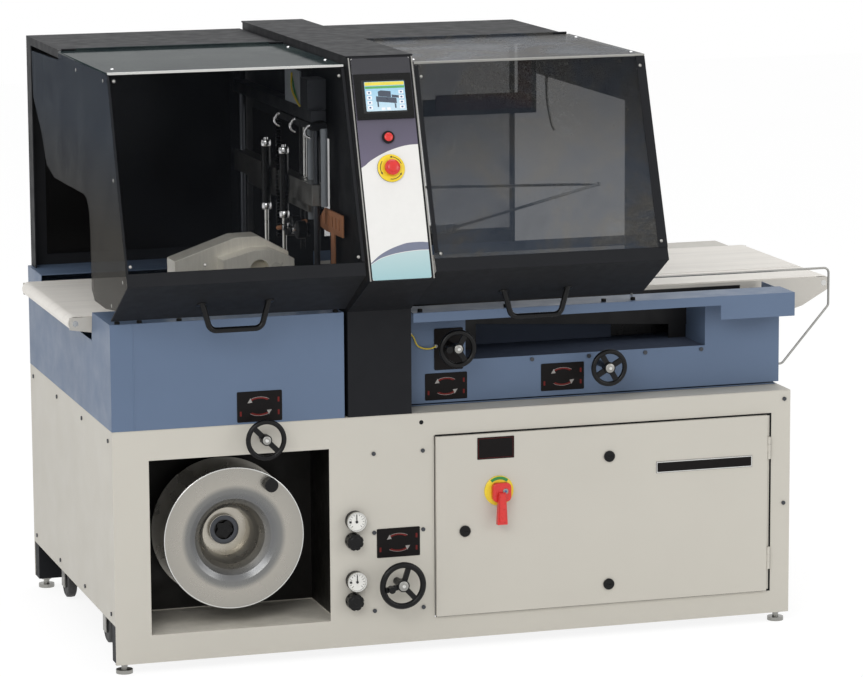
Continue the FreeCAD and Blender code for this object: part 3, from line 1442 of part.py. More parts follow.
def build_film_former():
    """The film former's two round rods meeting at a point, with the carriage that slides on the tower."""
    face = d.tower_right + 10
    carriage_left = face + GAP
    arm_high = d.former_high
    low, high = arm_high - 99, arm_high + 31
    plate = box("former_carriage", (carriage_left, 10, low), (carriage_left + 8, 150, high))
    hooks = []
    for number, y in enumerate((60 - GAP - 6, 100 + GAP)):
        hooks.append(box(f"former_hook_{number}", (carriage_left - 8, y, low), (carriage_left, y + 6, high)))
    arm = box("former_arm", (carriage_left, 150, arm_high - 8), (carriage_left + 8, d.former_rear_y + 8, arm_high + 8))
    front_y, front_z = d.former_front_y, d.former_front_z
    block = box("former_block", (carriage_left + 8, front_y - 10, front_z - 10), (face + 120, front_y + 10, front_z + 10))
    tip = (d.former_tip_x, d.former_tip_y, arm_high - 4)
    rear_rod = bent_rod(
        "former_rear_rod", [(carriage_left + 4, d.former_rear_y, arm_high), tip], d.former_rod, d.bail_bend
    )
    front_rod = bent_rod("former_front_rod", [(face + 112, front_y, front_z), tip], d.former_rod, d.bail_bend)
    knob = doc.addObject("Part::Sphere", "former_point")
    knob.Radius = 6
    place(knob, tip)
    finish("film_former", fuse("film_former", plate, arm, block, rear_rod, front_rod, knob, *hooks))


def check_and_export():
    """Stop on any failed object or bad shape, then write one file for each piece."""
    doc.recompute()
    failed = [o.Name for o in doc.Objects if {"Invalid", "Error"} & set(o.State)]
    if failed:
        raise RuntimeError("failed objects: " + ", ".join(failed))
    os.makedirs("parts", exist_ok=True)
    for piece in pieces:
        shape = piece.Shape
        if shape.isNull() or not shape.isValid() or not shape.Solids:
            raise RuntimeError("bad shape: " + piece.Label)
        shape.exportStep(os.path.join("parts", piece.Label + ".step"))
        bounds = shape.BoundBox
        print(
            f"{piece.Label:28s} solids {len(shape.Solids):3d} faces {len(shape.Faces):4d}"
            f"  x {bounds.XMin:8.1f} {bounds.XMax:8.1f}  y {bounds.YMin:8.1f} {bounds.YMax:8.1f}"
            f"  z {bounds.ZMin:8.1f} {bounds.ZMax:8.1f}"
        )
    print(len(pieces), "pieces")


build_base_frame()
build_front_panel()
build_base_panels()
build_winder_bay()
build_winder()
build_feet()
build_casters()
build_gauges()
build_regulator_knobs()
build_handwheels()
build_screws()
build_door()
build_latches()
build_disconnect_lever()
build_left_housing()
build_left_conveyor()
build_right_conveyor()
build_right_frame()
build_right_rail()
build_guide_bail()
build_tower()
build_console()
build_rear_caps()
build_rear_windows()
build_hood(
    "left", d.left_hood_left, d.left_hood_right, d.left_hood_left, d.left_handle_left, d.left_handle_line
)
build_hood(
    "right",
    d.right_hood_left,
    d.right_hood_right,
    d.right_hood_right - d.pane_sheet,
    d.right_handle_left,
    d.right_handle_line,
)
build_seal_head_cover()
build_seal_station()
build_film_comb()
build_film_former()
check_and_export()
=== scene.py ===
"""Looks of the side sealer: materials, small pieces, floor, light and the photo's camera.

Places are given in millimetres in the modelling frame: X from the base's left side, Y from the front panel into
the depth, Z up from the floor. The helper at() moves them to the row frame in metres.
"""

import bpy
import bmesh
import math
from mathutils import Matrix, Vector


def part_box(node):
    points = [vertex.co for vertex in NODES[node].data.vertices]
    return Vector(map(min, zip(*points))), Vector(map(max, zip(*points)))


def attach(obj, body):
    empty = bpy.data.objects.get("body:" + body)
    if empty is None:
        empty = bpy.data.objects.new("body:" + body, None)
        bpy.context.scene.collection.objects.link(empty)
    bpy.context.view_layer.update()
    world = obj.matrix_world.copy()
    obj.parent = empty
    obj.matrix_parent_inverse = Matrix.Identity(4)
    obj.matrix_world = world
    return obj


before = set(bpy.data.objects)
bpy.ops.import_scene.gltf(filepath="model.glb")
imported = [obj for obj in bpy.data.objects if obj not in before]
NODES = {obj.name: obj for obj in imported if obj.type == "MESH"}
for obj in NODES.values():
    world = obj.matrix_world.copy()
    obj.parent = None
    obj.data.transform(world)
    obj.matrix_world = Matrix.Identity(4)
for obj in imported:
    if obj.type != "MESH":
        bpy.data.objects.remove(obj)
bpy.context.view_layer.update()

ORIGIN_X, ORIGIN_Y = 1007.0, 424.16596
FOOT_Y, FOOT_Z = -208.0, 1026.0
SLOPE_Y, SLOPE_Z = 0.32799, 0.94468
CONSOLE_LEFT = 628.0
SKIRT_Y, SKIRT_Z = 0.86428, 0.50301
HOOD_Y, HOOD_Z = 0.35112, 0.93633
HOOD_SLOPE = 512.64
FLANGE_RADIUS = 0.188


# Places

def at(x, y, z):
    """A point of the modelling frame, in metres in the row frame."""
    return Vector(((x - ORIGIN_X) / 1000.0, (y - ORIGIN_Y) / 1000.0, z / 1000.0))


def console(u, v, w):
    """A point on the console: u from its left side, v up the slope, w outwards."""
    return at(CONSOLE_LEFT + u, FOOT_Y + SLOPE_Y * v - SLOPE_Z * w, FOOT_Z + SLOPE_Z * v + SLOPE_Y * w)


def front(depth):
    """A face that looks to the operator: u is X, v is Z, w comes towards the operator."""
    return lambda u, v, w: at(u, depth - w, v)


def back(depth):
    """A face that looks to the rear."""
    return lambda u, v, w: at(u, depth + w, v)


def top(height):
    """A face that looks up."""
    return lambda u, v, w: at(u, v, height + w)


def left_side(across):
    """A face that looks to the left: u is Y, v is Z."""
    return lambda u, v, w: at(across - w, u, v)


def right_side(across):
    """A face that looks to the right: u is Y, v is Z."""
    return lambda u, v, w: at(across + w, u, v)


def hood_front(u, v, w):
    """The hoods' sloping front: u is X, v runs up the slope from its lower edge, w outwards."""
    return at(u, -195.0 + HOOD_Y * v - HOOD_Z * w, 1077.0 + HOOD_Z * v + HOOD_Y * w)


def skirt_face(u, v, w):
    """The folded skirt under the hoods' front: v runs down from the fold, w outwards."""
    return at(u, FOOT_Y + SKIRT_Y * v - SKIRT_Z * w, 1045.0 - SKIRT_Z * v - SKIRT_Y * w)


# Materials

def linear(r, g, b):
    """An sRGB colour of 0 to 255 as linear numbers."""
    out = []
    for value in (r, g, b):
        share = value / 255.0
        out.append(share / 12.92 if share <= 0.04045 else ((share + 0.055) / 1.055) ** 2.4)
    return tuple(out)


def shaded(colour, factor):
    return tuple(min(1.0, c * factor) for c in colour) + (1.0,)


class Shader:
    """A node material with one Principled shader and object coordinates."""

    def __init__(self, name, roughness, metallic=0.0, alpha=1.0, coat=0.0, level=0.5):
        self.material = bpy.data.materials.new(name)
        self.material.use_nodes = True
        self.tree = self.material.node_tree
        self.body = self.tree.nodes["Principled BSDF"]
        self.body.inputs["Roughness"].default_value = roughness
        self.body.inputs["Metallic"].default_value = metallic
        self.body.inputs["Alpha"].default_value = alpha
        self.body.inputs["Coat Weight"].default_value = coat
        self.body.inputs["Specular IOR Level"].default_value = level
        self.coordinates = self.node("ShaderNodeTexCoord").outputs["Object"]

    def node(self, kind, **settings):
        made = self.tree.nodes.new(kind)
        for key, value in settings.items():
            if key.startswith("in_"):
                made.inputs[key[3:].replace("_", " ")].default_value = value
            else:
                setattr(made, key, value)
        return made

    def link(self, start, end):
        self.tree.links.new(start, end)

    def stretched(self, scale, shift=(0, 0, 0)):
        """Object coordinates with their own scale along each axis."""
        mapping = self.node("ShaderNodeMapping")
        mapping.inputs["Scale"].default_value = scale
        mapping.inputs["Location"].default_value = shift
        self.link(self.coordinates, mapping.inputs["Vector"])
        return mapping.outputs["Vector"]

    def noise(self, scale, detail=3.0, roughness=0.5, vector=None, distortion=0.0):
        made = self.node("ShaderNodeTexNoise")
        made.inputs["Scale"].default_value = scale
        made.inputs["Detail"].default_value = detail
        made.inputs["Roughness"].default_value = roughness
        made.inputs["Distortion"].default_value = distortion
        self.link(vector or self.coordinates, made.inputs["Vector"])
        return made.outputs["Fac"]

    def ramp(self, value, stops):
        """A colour ramp over a value: stops are (place, linear colour)."""
        made = self.node("ShaderNodeValToRGB")
        elements = made.color_ramp.elements
        while len(elements) < len(stops):
            elements.new(0.5)
        for element, (place, colour) in zip(elements, stops):
            element.position = place
            element.color = tuple(colour[:3]) + (1.0,)
        self.link(value, made.inputs["Fac"])
        return made.outputs["Color"]

    def place(self, axis, vector=None):
        """One coordinate of the object, or of another vector."""
        split = self.node("ShaderNodeSeparateXYZ")
        self.link(vector or self.coordinates, split.inputs["Vector"])
        return split.outputs[axis]

    def computed(self, operation, *values):
        """A Math node over sockets and plain numbers."""
        made = self.node("ShaderNodeMath", operation=operation)
        for socket, value in zip(made.inputs, values):
            if isinstance(value, float):
                socket.default_value = value
            else:
                self.link(value, socket)
        return made.outputs["Value"]

    def mixed(self, share, first, second):
        """Two colours mixed by a share; each is a socket or a linear colour."""
        made = self.node("ShaderNodeMix", data_type="RGBA")
        self.link(share, made.inputs["Factor"])
        for key, colour in (("A", first), ("B", second)):
            if isinstance(colour, tuple):
                made.inputs[key].default_value = colour + (1.0,)
            else:
                self.link(colour, made.inputs[key])
        return made.outputs["Result"]

    def spread(self, value, low, high, start=0.0, end=1.0):
        """A value from start to end mapped to low to high."""
        made = self.node("ShaderNodeMapRange")
        for key, number in (("From Min", start), ("From Max", end), ("To Min", low), ("To Max", high)):
            made.inputs[key].default_value = number
        self.link(value, made.inputs["Value"])
        return made.outputs["Result"]

    def bump(self, height, strength, distance):
        made = self.node("ShaderNodeBump")
        made.inputs["Strength"].default_value = strength
        made.inputs["Distance"].default_value = distance
        self.link(height, made.inputs["Height"])
        self.link(made.outputs["Normal"], self.body.inputs["Normal"])

    def paint(self, value, stops):
        self.link(self.ramp(value, stops), self.body.inputs["Base Color"])

    def roughen(self, value, low, high):
        self.link(self.spread(value, low, high, 0.3, 0.7), self.body.inputs["Roughness"])


def coated(name, colour, roughness, patch=0.05, peel=0.12, scale=3.0, level=0.5, coat=0.0):
    """Powder coat: slow colour drift, fine orange peel and uneven gloss."""
    made = Shader(name, roughness, level=level, coat=coat)
    drift = made.noise(scale, 4.0, 0.6)
    made.paint(drift, [(0.3, shaded(colour, 1 - patch)), (0.7, shaded(colour, 1 + patch))])
    made.roughen(made.noise(scale * 7, 3.0), roughness - 0.05, roughness + 0.07)
    made.bump(made.noise(900.0, 2.0), peel, 0.0004)
    return made.material


def metal(name, colour, roughness, grain=(4, 4, 300), patch=0.12, strength=0.08, metallic=1.0):
    """Metal with grain lines along one direction and cloudy gloss."""
    made = Shader(name, roughness, metallic=metallic)
    lines = made.noise(3.0, 6.0, 0.7, made.stretched(grain))
    made.paint(lines, [(0.3, shaded(colour, 1 - patch)), (0.7, shaded(colour, 1 + patch))])
    made.roughen(made.noise(14.0, 3.0), roughness - 0.07, roughness + 0.1)
    made.bump(lines, strength, 0.0003)
    return made.material


def spun_flange(name, middle, bowl, throat):
    """Spun aluminium round an axis along Y: pale flat ring, fine rings, and tones by radius that paint shade and
    reflection into the bowl and throat.
    """
    made = Shader(name, 0.3, metallic=0.82)
    here = made.stretched((1, 1, 1), tuple(-c for c in middle))
    rings = made.node("ShaderNodeTexWave", wave_type="RINGS", rings_direction="Y")
    for key, number in (("Scale", 160.0), ("Distortion", 0.6), ("Detail", 3.0), ("Detail Scale", 1.5)):
        rings.inputs[key].default_value = number
    made.link(here, rings.inputs["Vector"])
    flat = made.node("ShaderNodeCombineXYZ")
    for axis in "XZ":
        made.link(made.place(axis, here), flat.inputs[axis])
    length = made.node("ShaderNodeVectorMath", operation="LENGTH")
    made.link(flat.outputs["Vector"], length.inputs[0])
    reach = made.spread(length.outputs["Value"], 0.0, 1.0, 0.0, FLANGE_RADIUS)
    edge, neck = bowl / FLANGE_RADIUS, throat / FLANGE_RADIUS
    # Painted shade and painted reflection: the bowl is darker and the middle near black as painted shade, and the
    # pale band round the throat is a painted reflection; the flat outer ring keeps the metal's own tone.
    made.paint(reach, [
        (0.0, linear(30, 29, 28)), (neck * 0.5, linear(34, 33, 32)), (neck * 0.56, linear(176, 171, 160)),
        (neck, linear(186, 181, 170)), (neck * 1.22, linear(140, 137, 130)), (edge * 0.8, linear(108, 109, 110)),
        (edge * 0.96, linear(122, 122, 120)), (edge * 1.06, linear(166, 162, 154)), (1.0, linear(158, 155, 148)),
    ])
    made.roughen(made.noise(22.0, 3.0), 0.24, 0.34)
    made.bump(rings.outputs["Fac"], 0.05, 0.0003)
    return made.material


def plastic(name, colour, roughness=0.35, patch=0.06, scale=60.0, peel=0.1, coat=0.0, level=0.5):
    """Moulded plastic with a fine grain."""
    made = Shader(name, roughness, coat=coat, level=level)
    drift = made.noise(scale, 3.0)
    made.paint(drift, [(0.3, shaded(colour, 1 - patch)), (0.7, shaded(colour, 1 + patch))])
    made.roughen(made.noise(scale * 2, 2.0), roughness - 0.05, roughness + 0.08)
    made.bump(made.noise(1600.0, 2.0), peel, 0.0002)
    return made.material


def belt_cloth(name, colour):
    """Coated conveyor belt: a fine weave under a matt skin, with faint running marks."""
    made = Shader(name, 0.55, level=0.4)
    marks = made.noise(2.5, 5.0, 0.65, made.stretched((0.6, 9, 9)))
    made.paint(marks, [(0.25, shaded(colour, 0.9)), (0.5, shaded(colour, 1.0)), (0.75, shaded(colour, 1.05))])
    along = made.node("ShaderNodeTexWave", bands_direction="X", wave_type="BANDS")
    across = made.node("ShaderNodeTexWave", bands_direction="Y", wave_type="BANDS")
    for wave in (along, across):
        wave.inputs["Scale"].default_value = 260.0
        made.link(made.coordinates, wave.inputs["Vector"])
    made.bump(made.computed("MULTIPLY", along.outputs["Fac"], across.outputs["Fac"]), 0.25, 0.0004)
    made.roughen(made.noise(30.0, 3.0), 0.5, 0.66)
    return made.material


def slanting_tint(made, straight, slanted, speck):
    """Tinted sheet lets less light through at a slant; specks change it a little."""
    facing = made.node("ShaderNodeLayerWeight")
    facing.inputs["Blend"].default_value = 0.5
    tint = made.spread(facing.outputs["Facing"], straight, slanted, 0.1, 0.8)
    both = made.computed("ADD", tint, speck)
    both.node.use_clamp = True
    made.link(both, made.body.inputs["Alpha"])


def mottled(name, straight, slanted):
    """Smoked sheet with the dusty, scuffed clouding that the infeed hood shows."""
    made = Shader(name, 0.26, level=0.012)
    clouds = made.noise(4.5, 7.0, 0.7, distortion=0.6)
    curls = made.noise(120.0, 3.0, 0.7, distortion=1.6)
    specks = made.spread(curls, 0.0, 0.34, 0.5, 0.68)
    dust = made.computed("MULTIPLY", specks, made.spread(clouds, 0.25, 1.0, 0.4, 0.65))
    tone = made.ramp(clouds, [(0.3, linear(46, 53, 63)), (0.45, linear(61, 67, 76)), (0.56, linear(71, 70, 68)),
                              (0.7, linear(78, 83, 89))])
    made.link(made.mixed(dust, tone, linear(150, 147, 138)), made.body.inputs["Base Color"])
    slanting_tint(made, straight, slanted, made.spread(specks, -0.03, 0.06))
    made.roughen(clouds, 0.2, 0.34)
    return made.material


def smoked(name, colour, straight, slanted, roughness=0.07):
    """Tinted clear sheet of the outfeed hood: near black in front; at its end a lighter blue-grey and on top a
    lighter green-grey, both painted reflection.
    """
    made = Shader(name, roughness, level=0.3)
    made.body.inputs["IOR"].default_value = 1.03
    smear = made.noise(5.0, 5.0, 0.7, made.stretched((1, 1, 0.6)))
    haze = made.noise(6.0, 7.0, 0.7, distortion=0.5)
    # Painted reflection: the end face and the top get lighter tones than the front, and the end grows bluer towards
    # the top.
    end_reflection_mask = made.spread(made.place("X"), 1.0, 0.0, -0.9995, -0.9985)
    top_reflection_mask = made.spread(made.place("Z"), 0.0, 1.0, 1.5565, 1.5575)
    lower = made.ramp(haze, [(0.35, linear(52, 50, 47)), (0.65, linear(70, 68, 63))])
    upper = made.ramp(haze, [(0.35, linear(44, 52, 64)), (0.65, linear(64, 71, 79))])
    end_reflection_tone = made.mixed(made.spread(made.place("Z"), 0.0, 1.0, 1.15, 1.4), lower, upper)
    top_reflection_tone = made.ramp(haze, [(0.35, linear(38, 48, 51)), (0.65, linear(58, 67, 67))])
    front_tone = made.ramp(smear, [(0.3, shaded(colour, 0.7)), (0.7, shaded(colour, 1.5))])
    tone = made.mixed(top_reflection_mask, made.mixed(end_reflection_mask, front_tone, end_reflection_tone), top_reflection_tone)
    made.link(tone, made.body.inputs["Base Color"])
    # The end and the top are also made less clear, so that their painted reflection shows.
    tinted = made.computed("MULTIPLY_ADD", end_reflection_mask, 0.16, made.spread(top_reflection_mask, 0.0, 0.5))
    speck = made.computed("ADD", made.spread(smear, -0.03, 0.03, 0.3, 0.7), tinted)
    slanting_tint(made, straight, slanted, speck)
    made.roughen(made.noise(40.0, 4.0, 0.7), roughness * 0.6, roughness * 1.8)
    return made.material


def rear_window_sheet():
    """The rear windows: closed and black behind the seal station, clouded smoke behind the infeed."""
    made = Shader("rear_window_sheet", 0.2, level=0.1)
    clouds = made.noise(4.5, 8.0, 0.72, distortion=0.4)
    grains = made.noise(70.0, 3.0, 0.75)
    tone = made.ramp(clouds, [(0.3, linear(40, 46, 56)), (0.5, linear(78, 80, 82)), (0.7, linear(96, 90, 80))])
    side = made.spread(made.place("X"), 0.0, 1.0, -0.30, -0.25)
    made.link(made.mixed(side, linear(10, 10, 11), tone), made.body.inputs["Base Color"])
    clear = made.computed("MULTIPLY", side, made.spread(grains, 0.68, 0.76, 0.35, 0.65))
    made.link(made.computed("SUBTRACT", 0.985, clear), made.body.inputs["Alpha"])
    made.roughen(clouds, 0.1, 0.24)
    return made.material


def graded(name, low, high, start, end, roughness=0.35):
    """A print whose colour changes along Z between two heights in metres."""
    made = Shader(name, roughness)
    made.paint(made.spread(made.place("Z"), 0.0, 1.0, start, end), [(0.0, low), (1.0, high)])
    made.roughen(made.noise(60.0, 3.0), roughness - 0.05, roughness + 0.08)
    made.bump(made.noise(1400.0, 2.0), 0.08, 0.0002)
    return made.material


def bay_liner():
    """Winder bay: dark walls, and a floor painted pale as painted light where the light falls."""
    made = Shader("bay_liner", 0.5, level=0.2)
    wear = made.noise(9.0, 5.0, 0.65)
    walls = made.ramp(wear, [(0.3, linear(26, 25, 23)), (0.7, linear(40, 38, 35))])
    # Painted light: the floor gets a much paler copy of the bay's colour than the walls.
    painted_floor_light = made.ramp(wear, [(0.3, linear(206, 201, 188)), (0.7, linear(236, 231, 219))])
    lit_floor_mask = made.spread(made.place("Z"), 1.0, 0.0, 0.1015, 0.103)
    made.link(made.mixed(lit_floor_mask, walls, painted_floor_light), made.body.inputs["Base Color"])
    made.roughen(made.noise(20.0, 3.0), 0.35, 0.6)
    return made.material


def bed_with_painted_shade():
    """Conveyor beds: pale on top and at the far end; everything lower is painted near black as painted shade."""
    made = Shader("bed_paint", 0.42, level=0.25)
    height = made.computed("MULTIPLY_ADD", made.noise(4.0, 4.0), 0.0004, made.place("Z"))
    beyond = made.spread(made.place("X"), 0.0, 1.0, 0.800, 0.802)
    pale = made.computed("MAXIMUM", made.spread(height, 0.0, 1.0, 0.893, 0.895), beyond)
    # Painted shade: below the top and short of the far end the bed is painted near black.
    made.paint(pale, [(0.0, linear(22, 22, 24)), (1.0, linear(203, 199, 191))])
    made.roughen(made.noise(30.0, 3.0), 0.36, 0.5)
    made.bump(made.noise(900.0, 2.0), 0.1, 0.0003)
    return made.material


BASE = coated("base_powder_coat", linear(201, 197, 187), 0.45, patch=0.025, peel=0.15, scale=1.8, level=0.3)
BLUE = coated("blue_powder_coat", linear(98, 115, 140), 0.42, patch=0.04, peel=0.18, scale=2.2, level=0.25)
BLACK = coated("black_powder_coat", linear(27, 28, 31), 0.56, patch=0.04, peel=0.05, scale=4.0, level=0.14)
# A darker copy of the blue paint, as painted shade on the pan inside the frame's window.
PAN_PAINTED_SHADE = coated("frame_pan_painted_shade", linear(66, 74, 90), 0.5, patch=0.1, peel=0.1, level=0.12)
BAY = bay_liner()
PANE = smoked("smoked_sheet", linear(24, 26, 29), 0.18, 0.45)
RIGHT_PANE = mottled("mottled_smoked_sheet", 0.7, 0.78)
REAR_PANE = rear_window_sheet()
BELT = belt_cloth("belt_cloth", linear(240, 236, 229))
STEEL = metal("satin_steel", linear(150, 149, 145), 0.36, patch=0.15)
BRIGHT = metal("bright_steel", linear(205, 205, 202), 0.2, grain=(6, 6, 200), patch=0.08, strength=0.04)
POLISHED = metal("polished_cover", linear(248, 243, 231), 0.34, grain=(60, 4, 4), patch=0.08, metallic=0.25)
DARK_STEEL = metal("dark_steel", linear(74, 76, 80), 0.38, patch=0.15)
CHROME = metal("chrome", linear(225, 225, 226), 0.1, grain=(30, 30, 30), patch=0.04, strength=0.02)
BED = bed_with_painted_shade()
LEFT_BED = coated("left_bed_paint", linear(196, 192, 184), 0.42, patch=0.03, peel=0.1, level=0.25)
FLANGE = spun_flange("spun_aluminium", at(327, 38, 333), 0.133, 0.062)
BLACK_PLASTIC = plastic("black_plastic", linear(12, 12, 13), 0.3, level=0.22)
RED_PLASTIC = plastic("red_plastic", linear(214, 36, 30), 0.3, coat=0.3)
YELLOW = plastic("yellow_plastic", linear(238, 208, 40), 0.38)
GREEN = plastic("green_print", linear(46, 140, 70), 0.4)
RUBBER = plastic("grey_rubber", linear(62, 62, 62), 0.65, patch=0.12)
BLACK_RUBBER = plastic("black_rubber", linear(14, 14, 14), 0.6, patch=0.15, level=0.15)
DIAL = plastic("dial_face", linear(232, 231, 226), 0.4, patch=0.02)
INK = plastic("dial_ink", linear(26, 26, 28), 0.5)
COMB = metal("anodised_comb", linear(214, 152, 112), 0.45, grain=(40, 40, 8), patch=0.16, metallic=0.75)
WHITE_PRINT = plastic("white_print", linear(231, 230, 227), 0.36, patch=0.01, peel=0.06)
SLATE_PRINT = plastic("slate_print", linear(112, 118, 137), 0.36, patch=0.03, peel=0.06)
TEAL_PRINT = graded("teal_print", linear(156, 193, 198), linear(182, 206, 208), 1.03, 1.10)
TOP_PRINT = graded("plum_print", linear(98, 92, 112), linear(44, 44, 49), 1.33, 1.55)
PLATE_BLACK = plastic("plate_black", linear(18, 15, 15), 0.4, patch=0.12, peel=0.06, level=0.12)
PLATE_RED = plastic("plate_red", linear(104, 34, 32), 0.45, patch=0.1, level=0.12)
PLATE_GREY = plastic("plate_grey", linear(150, 146, 142), 0.4, patch=0.1)
MAROON = plastic("maroon_paint", linear(122, 40, 34), 0.4, patch=0.2, scale=20.0, level=0.2)
SCREEN_GLASS = plastic("screen_glass", linear(12, 13, 15), 0.12, patch=0.02, peel=0.01)
GREY_PAINT = coated("grey_enamel", linear(150, 156, 162), 0.4, patch=0.08)
EARTH_YELLOW = plastic("earth_yellow", linear(214, 190, 60), 0.45)
BLUE_PLASTIC = plastic("blue_plastic", linear(58, 104, 160), 0.4)


# Pieces

def placed(name, data):
    """A new object in the scene."""
    made = bpy.data.objects.new(name, data)
    bpy.context.scene.collection.objects.link(made)
    return made


def make(name, data, material, body, bevel=0.0, smooth=False, segments=2, angle=35.0):
    """A mesh as a named piece on a body, with its material and softened edges."""
    mesh = bpy.data.meshes.new(name)
    data.to_mesh(mesh)
    data.free()
    for face in mesh.polygons:
        face.use_smooth = smooth
    piece = placed(name, mesh)
    mesh.materials.append(material)
    if bevel:
        edge = piece.modifiers.new("edge", "BEVEL")
        edge.width = bevel / 1000.0
        edge.segments = segments
        edge.limit_method = "ANGLE"
        edge.angle_limit = math.radians(angle)
        edge.harden_normals = True
        for face in mesh.polygons:
            face.use_smooth = True
    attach(piece, body)
    return piece


def add_prism(data, points, low, high, to_world):
    """A closed outline (u, v) between two heights w."""
    lower = [data.verts.new(to_world(u, v, low)) for u, v in points]
    upper = [data.verts.new(to_world(u, v, high)) for u, v in points]
    count = len(points)
    data.faces.new(lower)
    data.faces.new(upper[::-1])
    for i in range(count):
        j = (i + 1) % count
        data.faces.new((lower[i], lower[j], upper[j], upper[i]))


def add_band(data, outer, inner, low, high, to_world):
    """A closed frame between two outlines with the same number of points."""
    rings = [[data.verts.new(to_world(u, v, w)) for u, v in points]
             for points, w in ((outer, low), (outer, high), (inner, high), (inner, low))]
    count = len(outer)
    for k in range(4):
        one, two = rings[k], rings[(k + 1) % 4]
        for i in range(count):
            j = (i + 1) % count
            data.faces.new((one[i], one[j], two[j], two[i]))


def finish_faces(data):
    bmesh.ops.recalc_face_normals(data, faces=data.faces)
    return data


def rounded(low, high, radius, steps=4):
    """A rectangle's outline with rounded corners."""
    (x0, y0), (x1, y1) = low, high
    corners = ((x1 - radius, y1 - radius, 0), (x0 + radius, y1 - radius, 90),
               (x0 + radius, y0 + radius, 180), (x1 - radius, y0 + radius, 270))
    points = []
    for cx, cy, start in corners:
        for step in range(steps + 1):
            turn = math.radians(start + 90 * step / steps)
            points.append((cx + radius * math.cos(turn), cy + radius * math.sin(turn)))
    return points


def arc_band(cx, cy, inner, outer, start, end, count=14):
    """The outline of part of a ring."""
    turns = [math.radians(start + (end - start) * i / count) for i in range(count + 1)]
    points = [(cx + outer * math.cos(t), cy + outer * math.sin(t)) for t in turns]
    return points + [(cx + inner * math.cos(t), cy + inner * math.sin(t)) for t in reversed(turns)]


def slab(name, outline, low, high, to_world, material, body, bevel=0.4):
    data = bmesh.new()
    add_prism(data, outline, low, high, to_world)
    return make(name, finish_faces(data), material, body, bevel)


def slabs(name, outlines, low, high, to_world, material, body, bevel=0.0):
    """Several outlines as one piece."""
    data = bmesh.new()
    for outline in outlines:
        add_prism(data, outline, low, high, to_world)
    return make(name, finish_faces(data), material, body, bevel)


def band(name, outer, inner, low, high, to_world, material, body, bevel=0.3):
    data = bmesh.new()
    add_band(data, outer, inner, low, high, to_world)
    return make(name, finish_faces(data), material, body, bevel)


def block(name, low, high, material, body, bevel=1.5):
    """A soft-edged block between two corners."""
    outline = [(low[0], low[1]), (high[0], low[1]), (high[0], high[1]), (low[0], high[1])]
    return slab(name, outline, low[2], high[2], top(0), material, body, bevel)


def add_turned(data, points, to_world, count=36):
    """A lathe round w: points are (radius, w), closed to the axis where the radius is 0."""
    rings = []
    for radius, w in points:
        if radius < 1e-6:
            rings.append([data.verts.new(to_world(0, 0, w))])
        else:
            rings.append([data.verts.new(to_world(radius * math.cos(2 * math.pi * i / count),
                                                  radius * math.sin(2 * math.pi * i / count), w))
                          for i in range(count)])
    for one, two in zip(rings, rings[1:]):
        for i in range(count):
            j = (i + 1) % count
            if len(one) == 1 and len(two) > 1:
                data.faces.new((one[0], two[i], two[j]))
            elif len(two) == 1 and len(one) > 1:
                data.faces.new((one[i], one[j], two[0]))
            elif len(one) > 1:
                data.faces.new((one[i], one[j], two[j], two[i]))
    for ring, flip in ((rings[0], False), (rings[-1], True)):
        if len(ring) > 1:
            data.faces.new(ring[::-1] if flip else ring)


def moved(to_world, u, v, w=0.0):
    """The same face with its origin at (u, v, w)."""
    return lambda a, b, c: to_world(u + a, v + b, w + c)


def turned(name, points, to_world, material, body, places=((0, 0),), count=36, bevel=0.0):
    """One lathe shape repeated at places on a face."""
    data = bmesh.new()
    for u, v in places:
        add_turned(data, points, moved(to_world, u, v), count)
    piece = make(name, finish_faces(data), material, body, bevel, smooth=True)
    if not bevel:
        piece.data.set_sharp_from_angle(angle=math.radians(38))
    return piece


def smooth_path(points, steps=8):
    """A Catmull-Rom line through the points."""
    points = [Vector(p) for p in points]
    padded = [points[0] * 2 - points[1]] + points + [points[-1] * 2 - points[-2]]
    out = []
    for i in range(1, len(padded) - 2):
        a, b, c, e = padded[i - 1:i + 3]
        for step in range(steps):
            t = step / steps
            out.append(0.5 * ((2 * b) + (c - a) * t + (2 * a - 5 * b + 4 * c - e) * t * t
                              + (3 * b - a - 3 * c + e) * t ** 3))
    return out + [points[-1]]


def add_tube(data, points, radius, sides=12):
    """A round tube along points in metres, with closed ends."""
    side = None
    rings = []
    for i, point in enumerate(points):
        ahead = points[min(i + 1, len(points) - 1)] - points[max(i - 1, 0)]
        ahead.normalize()
        if side is None:
            side = ahead.orthogonal().normalized()
        side = (side - ahead * side.dot(ahead)).normalized()
        other = ahead.cross(side)
        rings.append([data.verts.new(point + (side * math.cos(2 * math.pi * k / sides)
                                              + other * math.sin(2 * math.pi * k / sides)) * radius)
                      for k in range(sides)])
    for one, two in zip(rings, rings[1:]):
        for k in range(sides):
            j = (k + 1) % sides
            data.faces.new((one[k], one[j], two[j], two[k]))
    data.faces.new(rings[0][::-1])
    data.faces.new(rings[-1])


def tube(name, points, radius, material, body, curved=True, sides=12):
    """A tube through points of the modelling frame; the radius is in millimetres."""
    path = [at(*p) for p in points]
    if curved:
        path = smooth_path(path)
    data = bmesh.new()
    add_tube(data, path, radius / 1000.0, sides)
    piece = make(name, finish_faces(data), material, body, smooth=True)
    piece.data.set_sharp_from_angle(angle=math.radians(50))
    return piece


# Carried-over nodes

